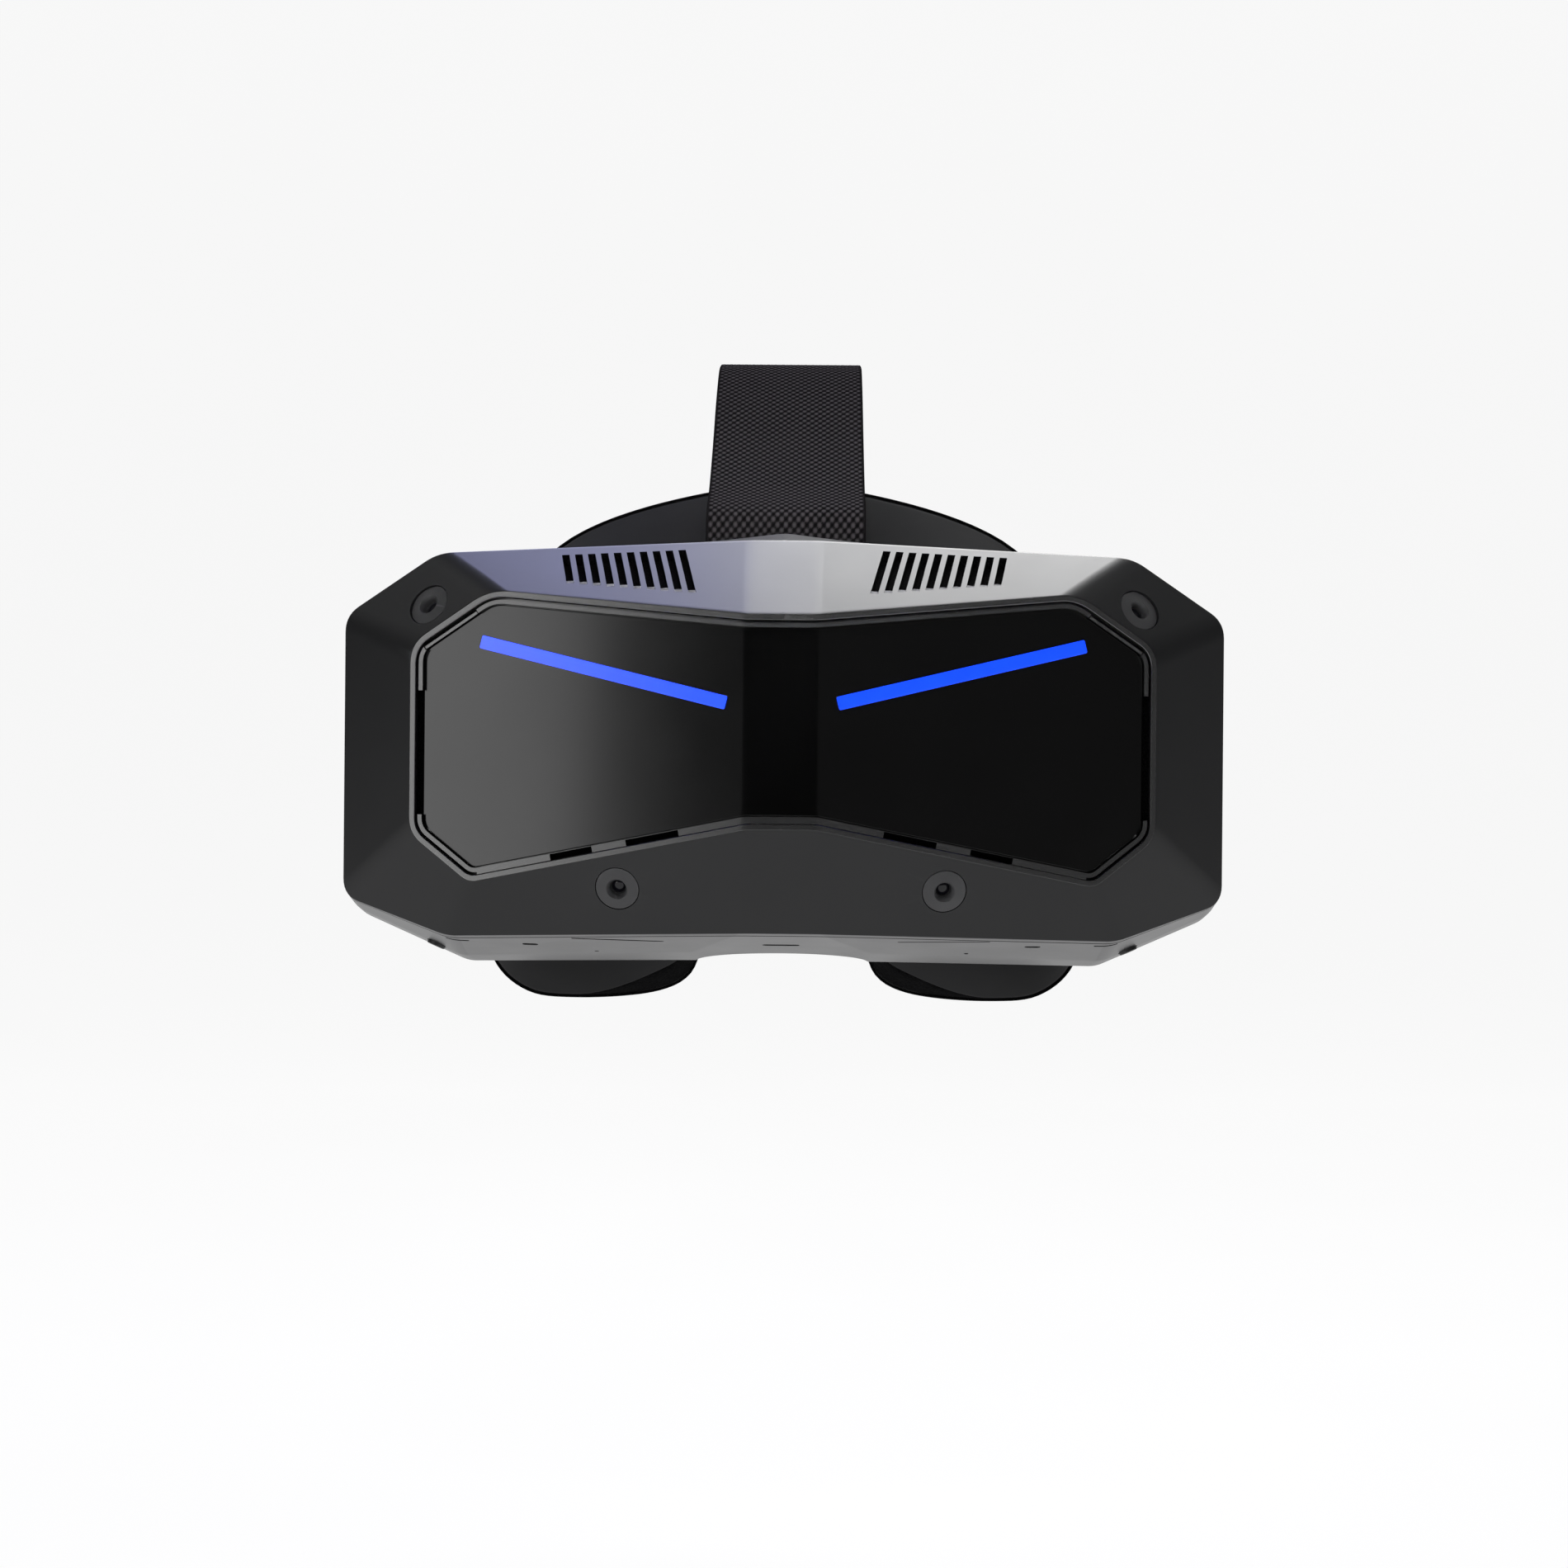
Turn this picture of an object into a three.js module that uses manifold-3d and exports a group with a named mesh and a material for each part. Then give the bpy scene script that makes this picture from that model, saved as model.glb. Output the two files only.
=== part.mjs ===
// Head-mounted display: visor, face gasket, tilting side arms, sliding rear cradle and top strap.
// Millimetres. +X is the wearer's left, -Y is the front, +Z is up. The origin lies between the
// wearer's eyes, in the plane where the face foam meets the forehead.
import * as THREE from "three";
import { mergeVertices } from "three/addons/utils/BufferGeometryUtils.js";
import Module from "manifold-3d";

const wasm = await Module();
wasm.setup();

// ---- Driving dimensions ----
const GAP = 0.3; // clearance between neighbouring pieces
const WALL = 2.4; // moulded shell wall
const FRONT_Y = -113; // the front of the centre band
const FOLD_X = 10.6; // half width of the centre band
const SWEEP = 0.249; // how far the side facets run back, per unit of X
const BACK_Y = -46; // the back edge of the rear housing
const RECESS = 2.6; // the faceplate lies this far behind the lip
const PLATE = 2; // faceplate thickness

// Half outlines, from the top middle round the +X side to the bottom middle.
const LIP = [
  [0, 41.4], [FOLD_X, 41.4], [91, 49.5], [116.5, 32.7],
  [116.5, -26.3], [97.2, -41.4], [FOLD_X, -24], [0, -24],
];
const RIM = [
  [0, -73, 67.3], [FOLD_X, -73, 67.3], [110, -73, 62.5], [140, -69, 42.6],
  [140, -69, -46.8], [104.8, -84, -58.5], [FOLD_X, -101, -56.1], [0, -101, -56.1],
];
const RIDGE = [
  [0, -56, 71], [23, -56, 68.2], [110, -56, 62.3], [140, -56, 42.2],
  [140, -56, -50], [103.2, -58, -66.2], [22, -64, -64], [0, -64, -64],
];
const BACK = [
  [0, BACK_Y, 70.4], [23, BACK_Y, 67.7], [110, BACK_Y, 62], [139.5, BACK_Y, 42],
  [139.5, BACK_Y, -52.3], [102.2, BACK_Y, -68.8], [28.6, BACK_Y, -68], [0, BACK_Y, -68],
];

// Insets from the lip: the lip's inner edge, the faceplate and the opening behind it.
const LIP_INSET = 1.8;
const FRAME_INSET = LIP_INSET + GAP;
const PLATE_INSET = 4.2;
const OPENING_INSET = 6.6;
const SEAT_DEPTH = 1.8; // the frame's floor behind the faceplate

// A straight light strip on each side facet of the faceplate.
const STRIP = { inX: 17, inZ: 14.5, outX: 94, outZ: 33.5, width: 4.2, depth: 0.5 };

// Vents in the top facets: slots that start further back the further out they lie.
const VENT = {
  count: 10, width: 2.35, firstX: 27.9, pitch: 4.08,
  lean: 0.19, frontY: -100.4, backY: -77, stagger: 0.94,
};

// Camera bezels, and a button on each lower corner facet of the rear housing.
const BEZEL = { r: 6.5, hole: 2.4, depth: 3, proud: 0.4 };
const BUTTON = { r: 3, at: [111.5, -58, -62.6], normal: [16.2, -5, -37.3] };

// The notch for the nose, an upright half ellipse.
const NOTCH = { rx: 28, ry: 16.5, roofZ: -36, wall: 2 };

// Rear cover, and the cable socket that shows through it.
const COVER_Y = [-48.6, -46.2];
const COVER_INSET = WALL + 1.4;
const SOCKET = { x: 119, z: 33, halfX: 8.5, halfZ: 5, r: 3 };

// Chassis plate.
const CHASSIS_Y = [-68.4, -66];
const CHASSIS = [[0, 60], [106, 56], [132, 38], [132, -44], [100, -54], [36, -54], [0, -54]];

// Eye optics.
const EYE = { x: 32, outer: 27, inner: 24.5, lens: 24.2, front: -60, back: -25 };
const ROD = { r: 1.5, y: -56, z: 31, half: 74 };
const PINION = { y: -62, z: 36, pitchR: 4.5, teeth: 12, width: 3 };
const RACK = { from: -3, to: 10, end: 36, back: -9 };

// Fans, main board and heat spreader.
const FAN = { x: 50, y: -83.5, z: 27, r: 14, height: 10, wall: 1.4, blades: 7 };
const BOARD = { half: 75, halfZ: 21, y: [-81.6, -80] };
const SPREADER = { half: 52, halfZ: 17, y: [-84.6, -81.9], fins: 11, pitch: 10, finTip: -90 };

// Face gasket.
const GASKET_FRONT = [
  [0, 52], [26, 52], [70, 50], [98, 35], [106, 0], [102, -36], [92, -50],
  [80, -57], [66, -60], [46, -60], [36, -57], [27, -48], [14, -40], [0, -38],
];
const GASKET_FRONT_INNER = [
  [0, 46], [24, 46], [66, 44], [88, 31], [95, 0], [91, -32], [84, -44],
  [75, -50], [65, -52], [52, -51], [43, -48], [33, -41], [17, -35], [0, -34],
];
const GASKET_BACK = [
  [0, -16, 88.5], [27, -15, 87.4], [77, -7, 70], [101, 3, 36], [106, 7, 0],
  [104, 1, -42], [97.8, -8, -70.5], [86.5, -12, -80], [71, -14, -82], [41, -16, -79],
  [32, -17, -73.5], [26, -20, -58], [14, -22, -44], [0, -22, -39],
];
const GASKET_BACK_INNER = [
  [0, -16, 71], [24, -15, 70], [66, -7, 56], [85, 3, 30], [90, 7, 0],
  [88, 1, -36], [84, -8, -56], [77, -12, -65], [67, -14, -68], [49, -16, -67],
  [42, -17, -62], [36, -20, -51], [20, -22, -37], [0, -22, -30],
];
const FOAM_DEPTH = 15;

// Side arms, cradle and strap.
const PIVOT = { x: 124, y: -34, z: 5, pinR: 3, eyeR: 8 };
const ARM_T = 7;
const ARM = [ // x, y, height
  [124, -20, 22], [123, 8, 24], [117, 38, 26], [102.5, 66, 26],
  [91.5, 83, 26], [88, 91, 26], [88, 132, 26],
];
const ARM_Z = 5;
const ARM_BACK_X = 88; // the straight rear part of the arms
const POCKET = { halfX: 2.1, halfZ: 8.5, from: 92 };
const SLIDER_T = 1.7; // half thickness of the cradle's sliders
const CRADLE = [ // x, y, height
  [88, 134, 26], [86, 150, 30], [76, 174, 46], [52, 194, 64], [27, 203.6, 73], [0, 204, 76],
];
const CRADLE_T = 5;
const POD = { y: 92, z: -28.3, halfY: 18, halfZ: 20, r: 9, x0: 84, x1: 95 };
const DIAL = { y: 207, z: -2, r: 21, depth: 13, steps: 48, groove: 1.4 };
const STRAP = { width: 52.4, thickness: 2 };
const STRAP_FRONT = [ // y, z
  [-42.9, 61], [-42.9, 72], [-42.4, 76.6], [-39.6, 79.6], [-18, 90], [10, 107.5],
  [34, 124.6], [56, 137.7], [67, 142.5], [77, 144.9],
];
const STRAP_REAR = [
  [77.6, 145], [88, 146], [104, 145.3], [128, 137], [156, 118], [179, 92],
  [194, 68], [202, 50], [204, 40], [204, 25],
];

const INK = 0x26272a;
const GREY = 0x3a3b3e;
const BLACK = 0x0c0c0e;
const BLUE = 0x0546ff;
const FABRIC = 0x2a272a;
const METAL = 0x9a9da2;
const GLASS = 0x20242c;
const BOARD_GREEN = 0x1d4d34;

const headset = new THREE.Group();

// ---- Geometry helpers ----

const vec = (p) => new THREE.Vector3(...p);

// Turns a geometry into a manifold solid with its faces pointing out.
function solid(geometry) {
  const bare = geometry.clone();
  for (const name of ["normal", "uv"]) bare.deleteAttribute(name);
  const merged = mergeVertices(bare, 1e-4);
  const vertProperties = merged.attributes.position.array;
  const build = (triVerts) => new wasm.Manifold(new wasm.Mesh({ numProp: 3, vertProperties, triVerts }));
  const made = build(new Uint32Array(merged.index.array));
  return made.volume() < 0 ? build(new Uint32Array(merged.index.array).reverse()) : made;
}

function geometryOf(body) {
  const mesh = body.getMesh();
  const geometry = new THREE.BufferGeometry();
  geometry.setAttribute("position", new THREE.BufferAttribute(mesh.vertProperties, 3));
  geometry.setIndex(new THREE.BufferAttribute(mesh.triVerts, 1));
  geometry.computeVertexNormals();
  return geometry;
}

function add(name, body, color, roughness = 0.5, metalness = 0) {
  const material = new THREE.MeshStandardMaterial({ color, roughness, metalness });
  const mesh = new THREE.Mesh(geometryOf(body), material);
  mesh.name = name;
  headset.add(mesh);
}

const mirror = (body) => body.mirror([1, 0, 0]);

// Adds a piece on the wearer's left, and its mirror image on the right.
function addPair(name, body, color, roughness, metalness) {
  add(name + "_left", body, color, roughness, metalness);
  add(name + "_right", mirror(body), color, roughness, metalness);
}

// A full closed loop from a half outline that starts and ends at X = 0.
function fullLoop(half) {
  const other = half.slice(1, -1).reverse().map(([x, y, z]) => [-x, y, z]);
  return [...half, ...other];
}

// The same for a half outline of [x, z] points, as a flat outline.
const flatLoop = (half) => fullLoop(half.map(([x, z]) => [x, 0, z])).map(([x, , z]) => [x, z]);

const shift = (loop, dy) => loop.map(([x, y, z]) => [x, y + dy, z]);

const mixLoops = (a, b, t) => a.map((p, i) => p.map((value, k) => value + (b[i][k] - value) * t));

const foldY = (x) => FRONT_Y + SWEEP * Math.max(Math.abs(x) - FOLD_X, 0);

const onFold = ([x, z]) => [x, foldY(x), z];

// Moves each point of a full XZ loop inwards by distance, keeping the corners mitred.
function inset(loop, distance, shiftY = 0) {
  const count = loop.length;
  return loop.map(([x, y, z], i) => {
    const [px, , pz] = loop[(i + count - 1) % count];
    const [nx, , nz] = loop[(i + 1) % count];
    const before = new THREE.Vector2(x - px, z - pz).normalize();
    const after = new THREE.Vector2(nx - x, nz - z).normalize();
    const bisector = before.clone().add(after).normalize();
    const reach = distance / Math.max(bisector.dot(before), 0.35);
    return [x + bisector.y * reach, y + shiftY, z - bisector.x * reach];
  });
}

// Joins loops of equal length into one closed skin: a ring when closed, or a capped solid.
function loft(loops, closed = false) {
  const count = loops[0].length;
  const points = loops.flat();
  const faces = [];
  const last = closed ? loops.length : loops.length - 1;
  for (let k = 0; k < last; k++) {
    const here = k * count;
    const next = ((k + 1) % loops.length) * count;
    for (let i = 0; i < count; i++) {
      const j = (i + 1) % count;
      faces.push(here + i, here + j, next + j, here + i, next + j, next + i);
    }
  }
  if (!closed) {
    for (const [k, turn] of [[0, -1], [loops.length - 1, 1]]) {
      const centre = points.length;
      const mean = loops[k].reduce((sum, p) => sum.add(vec(p)), new THREE.Vector3()).divideScalar(count);
      points.push(mean.toArray());
      for (let i = 0; i < count; i++) {
        const pair = [k * count + i, k * count + ((i + 1) % count)];
        faces.push(centre, ...(turn > 0 ? pair : pair.reverse()));
      }
    }
  }
  const geometry = new THREE.BufferGeometry();
  geometry.setAttribute("position", new THREE.Float32BufferAttribute(points.flat(), 3));
  geometry.setIndex(faces);
  return solid(geometry);
}

// A straight prism. The outline's two numbers are the axes left over, in X, Y, Z order.
function prism(outline, axis, from, to) {
  const shape = new THREE.Shape(outline.map((p) => new THREE.Vector2(...p)));
  const geometry = new THREE.ExtrudeGeometry(shape, { depth: to - from, bevelEnabled: false });
  const at = geometry.getAttribute("position");
  for (let i = 0; i < at.count; i++) {
    const [a, b, c] = [at.getX(i), at.getY(i), at.getZ(i) + from];
    at.setXYZ(i, ...(axis === "z" ? [a, b, c] : axis === "y" ? [a, c, b] : [c, a, b]));
  }
  return solid(geometry);
}

function box([x0, y0, z0], [x1, y1, z1]) {
  return prism([[x0, y0], [x1, y0], [x1, y1], [x0, y1]], "z", z0, z1);
}

// A solid of revolution: profile is [radius, height] along direction from base.
function turned(profile, base, direction, sides = 24) {
  const geometry = new THREE.LatheGeometry(profile.map((p) => new THREE.Vector2(...p)), sides);
  const upright = new THREE.Vector3(0, 1, 0);
  const turn = new THREE.Quaternion().setFromUnitVectors(upright, vec(direction).normalize());
  geometry.applyQuaternion(turn).translate(...base);
  return solid(geometry);
}

const cylinder = (r, from, to, base, direction, sides = 24) =>
  turned([[0, from], [r, from], [r, to], [0, to]], base, direction, sides);

function roundedRect(halfWidth, halfHeight, r, cx = 0, cz = 0) {
  const points = [];
  for (const [sx, sz, start] of [[1, 1, 0], [-1, 1, 90], [-1, -1, 180], [1, -1, 270]]) {
    for (let step = 0; step <= 4; step++) {
      const angle = ((start + step * 22.5) * Math.PI) / 180;
      const [x, z] = [cx + sx * (halfWidth - r), cz + sz * (halfHeight - r)];
      points.push([x + r * Math.cos(angle), z + r * Math.sin(angle)]);
    }
  }
  return points;
}

// Where a line along Y through (x, z) meets the facet on three points, and the facet's forward normal.
function onFacet(a, b, c, x, z) {
  const normal = vec(b).sub(vec(a)).cross(vec(c).sub(vec(a))).normalize();
  const y = a[1] - (normal.x * (x - a[0]) + normal.z * (z - a[2])) / normal.y;
  return { at: [x, y, z], normal: normal.multiplyScalar(-Math.sign(normal.y)).toArray() };
}

// A band that follows plan points [x, y, height], upright, with chamfered edges.
function uprightBand(path, thickness, midZ, chamfer = 1.2) {
  const loops = path.map(([x, y, height], i) => {
    const [ax, ay] = path[Math.max(i - 1, 0)];
    const [bx, by] = path[Math.min(i + 1, path.length - 1)];
    const side = new THREE.Vector2(by - ay, ax - bx).normalize();
    const [t, h] = [thickness / 2, height / 2];
    const section = [
      [-t, -h + chamfer], [-t + chamfer, -h], [t - chamfer, -h], [t, -h + chamfer],
      [t, h - chamfer], [t - chamfer, h], [-t + chamfer, h], [-t, h - chamfer],
    ];
    return section.map(([s, z]) => [x + side.x * s, y + side.y * s, midZ + z]);
  });
  return loft(loops);
}

// A flat strap that follows YZ points across its full width.
function strapBand(path, width, thickness) {
  const loops = path.map(([y, z], i) => {
    const [ay, az] = path[Math.max(i - 1, 0)];
    const [by, bz] = path[Math.min(i + 1, path.length - 1)];
    const up = new THREE.Vector2(-(bz - az), by - ay).normalize().multiplyScalar(thickness / 2);
    const w = width / 2;
    return [
      [-w, y - up.x, z - up.y], [w, y - up.x, z - up.y],
      [w, y + up.x, z + up.y], [-w, y + up.x, z + up.y],
    ];
  });
  return loft(loops);
}

// A smooth closed loop through a half outline.
function smoothLoop(half, steps = 56) {
  const curve = new THREE.CatmullRomCurve3(fullLoop(half).map(vec), true, "centripetal");
  return Array.from({ length: steps }, (_, i) => curve.getPoint(i / steps).toArray());
}

// ---- Shells ----

const lip = fullLoop(LIP.map(onFold));
const rim = fullLoop(RIM);
const ridge = fullLoop(RIDGE);
const back = fullLoop(BACK);

// Facets of the front shell that carry the cameras.
const upperChamfer = [onFold(LIP[2]), onFold(LIP[3]), RIM[2]];
const lowerFacet = [onFold(LIP[5]), onFold(LIP[6]), RIM[6]];
const CAMERAS = {
  upper: onFacet(...upperChamfer, 111.2, 45.2),
  lower: onFacet(...lowerFacet, 50.3, -42.6),
};

// An upright cylinder round the nose, on an ellipse.
function noseCylinder(rx, ry, z0, z1) {
  const shape = [];
  for (let i = 0; i < 28; i++) {
    const angle = (i * 2 * Math.PI) / 28;
    shape.push([rx * Math.cos(angle), BACK_Y + ry * Math.sin(angle)]);
  }
  return prism(shape, "z", z0, z1);
}

function frontShell() {
  const inside = [inset(rim, WALL, 2), inset(lip, LIP_INSET, 4), inset(lip, LIP_INSET)];
  let shell = loft([lip, rim, ...inside], true);
  for (let i = 0; i < VENT.count; i++) {
    const x = VENT.firstX + i * VENT.pitch;
    const front = VENT.frontY + i * VENT.stagger;
    const [a, b] = [x + 0.5 * VENT.width, x - 0.5 * VENT.width];
    const leanBy = (y) => VENT.lean * (y - VENT.frontY);
    const outline = [
      [a + leanBy(front), front], [a + leanBy(VENT.backY), VENT.backY],
      [b + leanBy(VENT.backY), VENT.backY], [b + leanBy(front), front],
    ];
    const slot = prism(outline, "z", 30, 90);
    shell = shell.subtract(slot).subtract(mirror(slot));
  }
  for (const camera of Object.values(CAMERAS)) {
    const hole = cylinder(BEZEL.r + GAP, -12, 6, camera.at, camera.normal);
    shell = shell.subtract(hole).subtract(mirror(hole));
  }
  return shell;
}

add("front_shell", frontShell(), GREY, 0.45);

// A slab that follows the folded front, between two depths behind it.
function foldedSlab(from, to) {
  const xs = [-150, -FOLD_X, FOLD_X, 150];
  const near = xs.map((x) => [x, foldY(x) + from]);
  const far = xs.map((x) => [x, foldY(x) + to]).reverse();
  return prism([...near, ...far], "z", -80, 80);
}

// A folded plate whose edge lies a distance inside the lip.
function foldedPlate(distance, from, to) {
  const outline = inset(lip, distance).map(([x, , z]) => [x, z]);
  return prism(outline, "y", -130, -60).intersect(foldedSlab(from, to));
}

// The frame that the faceplate snaps into, with a floor behind the plate's edge.
function faceplateFrame() {
  const body = foldedPlate(FRAME_INSET, 1.4, RECESS + PLATE + SEAT_DEPTH);
  const seat = foldedPlate(PLATE_INSET - GAP, -2, RECESS + PLATE + GAP);
  return body.subtract(seat).subtract(foldedPlate(OPENING_INSET, -2, 20));
}

add("faceplate_frame", faceplateFrame(), INK, 0.4);
add("faceplate", foldedPlate(PLATE_INSET, RECESS, RECESS + PLATE), BLACK, 0.08);

function lightStrip() {
  const along = new THREE.Vector2(STRIP.outX - STRIP.inX, STRIP.outZ - STRIP.inZ).normalize();
  const [ox, oz] = [(-along.y * STRIP.width) / 2, (along.x * STRIP.width) / 2];
  const outline = [
    [STRIP.inX - ox, STRIP.inZ - oz], [STRIP.outX - ox, STRIP.outZ - oz],
    [STRIP.outX + ox, STRIP.outZ + oz], [STRIP.inX + ox, STRIP.inZ + oz],
  ];
  return prism(outline, "y", -130, -60).intersect(foldedSlab(RECESS - GAP - STRIP.depth, RECESS - GAP));
}
addPair("light_strip", lightStrip(), BLUE, 0.3);

function housing() {
  const outer = [shift(inset(rim, 0.05), 0.5), ridge, back];
  const inner = [inset(back, WALL), inset(ridge, WALL), inset(rim, WALL + 0.05, 2.6)];
  let shell = loft([...outer, ...inner], true);
  const notch = noseCylinder(NOTCH.rx, NOTCH.ry, -90, -40);
  const button = cylinder(BUTTON.r + 0.4, -8, 6, BUTTON.at, BUTTON.normal);
  return shell.subtract(notch).subtract(button).subtract(mirror(button));
}

add("rear_housing", housing(), GREY, 0.42);

// A plate with one wide opening for both eyes, and cuts for the socket and the nose.
function rearCover() {
  const edge = inset(back, COVER_INSET).map(([x, , z]) => [x, z]);
  const plate = prism(edge, "y", ...COVER_Y);
  const eyes = prism(roundedRect(66, 30, 29), "y", -60, -30);
  const { halfX, halfZ, r, x, z } = SOCKET;
  const socket = prism(roundedRect(halfX + GAP, halfZ + GAP, r, x, z), "y", -60, -30);
  const nose = noseCylinder(NOTCH.rx + NOTCH.wall + GAP, NOTCH.ry + 4, -90, NOTCH.roofZ - 2.2);
  return plate.subtract(eyes).subtract(socket).subtract(nose);
}
add("rear_cover", rearCover(), INK, 0.6);

function noseShield() {
  const outer = noseCylinder(NOTCH.rx + NOTCH.wall, NOTCH.ry + NOTCH.wall, -61, NOTCH.roofZ - 2.4);
  const hollow = noseCylinder(NOTCH.rx, NOTCH.ry, -90, NOTCH.roofZ - NOTCH.wall - 2.4);
  return outer.subtract(hollow).subtract(box([-60, BACK_Y - GAP, -90], [60, 0, 0]));
}
add("nose_shield", noseShield(), INK, 0.6);

// ---- Inside the visor ----

// The chassis plate, with a window for each display and a seat for each end of the rods.
function chassis() {
  let plate = prism(flatLoop(CHASSIS), "y", ...CHASSIS_Y);
  const shaftHole = cylinder(1.9, -80, -50, [0, 0, PINION.z], [0, 1, 0]);
  for (const side of [-1, 1]) {
    plate = plate.subtract(prism(roundedRect(15, 15, 3, side * 36, 0), "y", -80, -50));
    for (const z of [-ROD.z, ROD.z]) {
      const x = side * (ROD.half - 2);
      const post = box([x - 3, CHASSIS_Y[1] - 0.5, z - 4], [x + 3, ROD.y + 4, z + 4]);
      const seat = cylinder(ROD.r + GAP, -90, 90, [0, ROD.y, z], [1, 0, 0], 16);
      plate = plate.add(post).subtract(seat);
    }
  }
  return plate.subtract(shaftHole);
}
add("chassis", chassis(), METAL, 0.5, 0.7);

for (const [name, z] of [["ipd_rod_upper", ROD.z], ["ipd_rod_lower", -ROD.z]]) {
  add(name, cylinder(ROD.r, -ROD.half, ROD.half, [0, ROD.y, z], [1, 0, 0], 16), METAL, 0.25, 1);
}

// Teeth as trapezia, thinned for backlash.
const MODULE = (2 * PINION.pitchR) / PINION.teeth;
function pinion() {
  const outline = [];
  for (let i = 0; i < PINION.teeth; i++) {
    for (const [part, r] of [[0.06, -1.1], [0.36, 0.72], [0.56, 0.72], [0.86, -1.1]]) {
      const angle = ((i + part - 0.46) * 2 * Math.PI) / PINION.teeth;
      const radius = PINION.pitchR + r * MODULE;
      outline.push([radius * Math.cos(angle), PINION.z + radius * Math.sin(angle)]);
    }
  }
  const gear = prism(outline, "y", PINION.y - PINION.width / 2, PINION.y + PINION.width / 2);
  return gear.add(cylinder(1.5, -71.4, PINION.y, [0, 0, PINION.z], [0, 1, 0], 16));
}

// The rack on the wearer's left carriage runs over the pinion, and the right one under it.
function rack(over) {
  const pitch = Math.PI * MODULE;
  const turn = over ? 1 : -1;
  const height = (step) => PINION.z + turn * (PINION.pitchR + step * MODULE);
  const outline = [[RACK.end * turn, height(4)], [RACK.back * turn, height(4)]];
  for (let i = RACK.from; i < RACK.to; i++) {
    for (const [part, depth] of [[0.1, 1.2], [0.38, -0.7], [0.62, -0.7], [0.9, 1.2]]) {
      outline.push([turn * (i + part) * pitch, height(depth)]);
    }
  }
  outline.push([RACK.end * turn, height(1.2)]);
  return prism(outline, "y", PINION.y - PINION.width / 2, PINION.y + PINION.width / 2);
}

// A lens tube that slides on both rods, with its rack on a riser.
function eyeTube(over) {
  const profile = [
    [EYE.inner, EYE.front], [EYE.outer, EYE.front], [EYE.outer, EYE.back], [EYE.lens - 1.2, EYE.back],
    [EYE.lens - 1.2, EYE.back - 1.6], [EYE.inner, EYE.back - 1.6], [EYE.inner, EYE.front],
  ];
  const side = over ? 1 : -1;
  const x = side * EYE.x;
  const centre = [x, 0, 0];
  let body = turned(profile, centre, [0, 1, 0], 40);
  for (const [low, high] of [[-34.4, -26], [26, 34.4]]) {
    body = body.add(box([x - 7, ROD.y - 3.4, low], [x + 7, ROD.y + 3.4, high]));
  }
  for (const z of [-ROD.z, ROD.z]) {
    body = body.subtract(cylinder(ROD.r + GAP, -90, 90, [0, ROD.y, z], [1, 0, 0], 16));
  }
  const [rackLow, rackHigh] = over ? [33.8, 43.4] : [28, 31.4];
  const riser = box([x - 4, PINION.y - 1.5, rackLow], [x + 4, ROD.y - 3.2, rackHigh]);
  const bore = cylinder(EYE.inner, EYE.front - 6, EYE.back - 4, centre, [0, 1, 0], 40);
  return body.add(riser).add(rack(over)).subtract(bore);
}

function lens(side) {
  const profile = [[0, -40]];
  for (let i = 1; i <= 5; i++) profile.push([(EYE.lens * i) / 5, -40 + 4.5 * (i / 5) ** 2]);
  for (let i = 5; i >= 0; i--) profile.push([(EYE.lens * i) / 5, -29 - 3.5 * (i / 5) ** 2]);
  return turned(profile, [side * EYE.x, 0, 0], [0, 1, 0], 40);
}

// A display in front of the tube, held by a step that reaches into the tube.
function display(x) {
  const screen = box([x - 16, EYE.front - 2.6, -17], [x + 16, EYE.front - GAP, 17]);
  const step = box([x - 15, EYE.front - 1, -11], [x + 15, EYE.front + 1, 11]);
  const tongue = box([x - 20, EYE.front + 0.4, -12], [x + 20, EYE.front + 2, 12]);
  return screen.add(step).add(tongue);
}

for (const [name, side] of [["left", 1], ["right", -1]]) {
  add("eye_tube_" + name, eyeTube(side > 0), INK, 0.6);
  add("lens_" + name, lens(side), GLASS, 0.05);
  add("display_" + name, display(side * EYE.x), BLACK, 0.1);
}
add("ipd_pinion", pinion(), METAL, 0.4, 0.6);
add("ipd_motor", cylinder(6, -84, CHASSIS_Y[0] - 3.4, [0, 0, PINION.z], [0, 1, 0]), METAL, 0.35, 0.9);

const board = box([-BOARD.half, BOARD.y[0], -BOARD.halfZ], [BOARD.half, BOARD.y[1], BOARD.halfZ]);
add("main_board", board, BOARD_GREEN, 0.6);

function heatSpreader() {
  const { half, halfZ, y, fins, pitch, finTip } = SPREADER;
  let body = box([-half, y[0], -halfZ], [half, y[1], halfZ]);
  for (let i = 0; i < fins; i++) {
    const x = (i - (fins - 1) / 2) * pitch;
    body = body.add(box([x - 0.7, finTip, -halfZ], [x + 0.7, y[0] + 0.6, halfZ]));
  }
  return body;
}
add("heat_spreader", heatSpreader(), METAL, 0.4, 0.9);

// A round cup with an axle stub in its middle.
function fanHousing() {
  const profile = [
    [0, 0], [FAN.r, 0], [FAN.r, FAN.height], [FAN.r - FAN.wall, FAN.height],
    [FAN.r - FAN.wall, FAN.wall], [1, FAN.wall], [1, 6], [0, 6],
  ];
  return turned(profile, [FAN.x, FAN.y, FAN.z], [0, 0, 1], 32);
}

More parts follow.
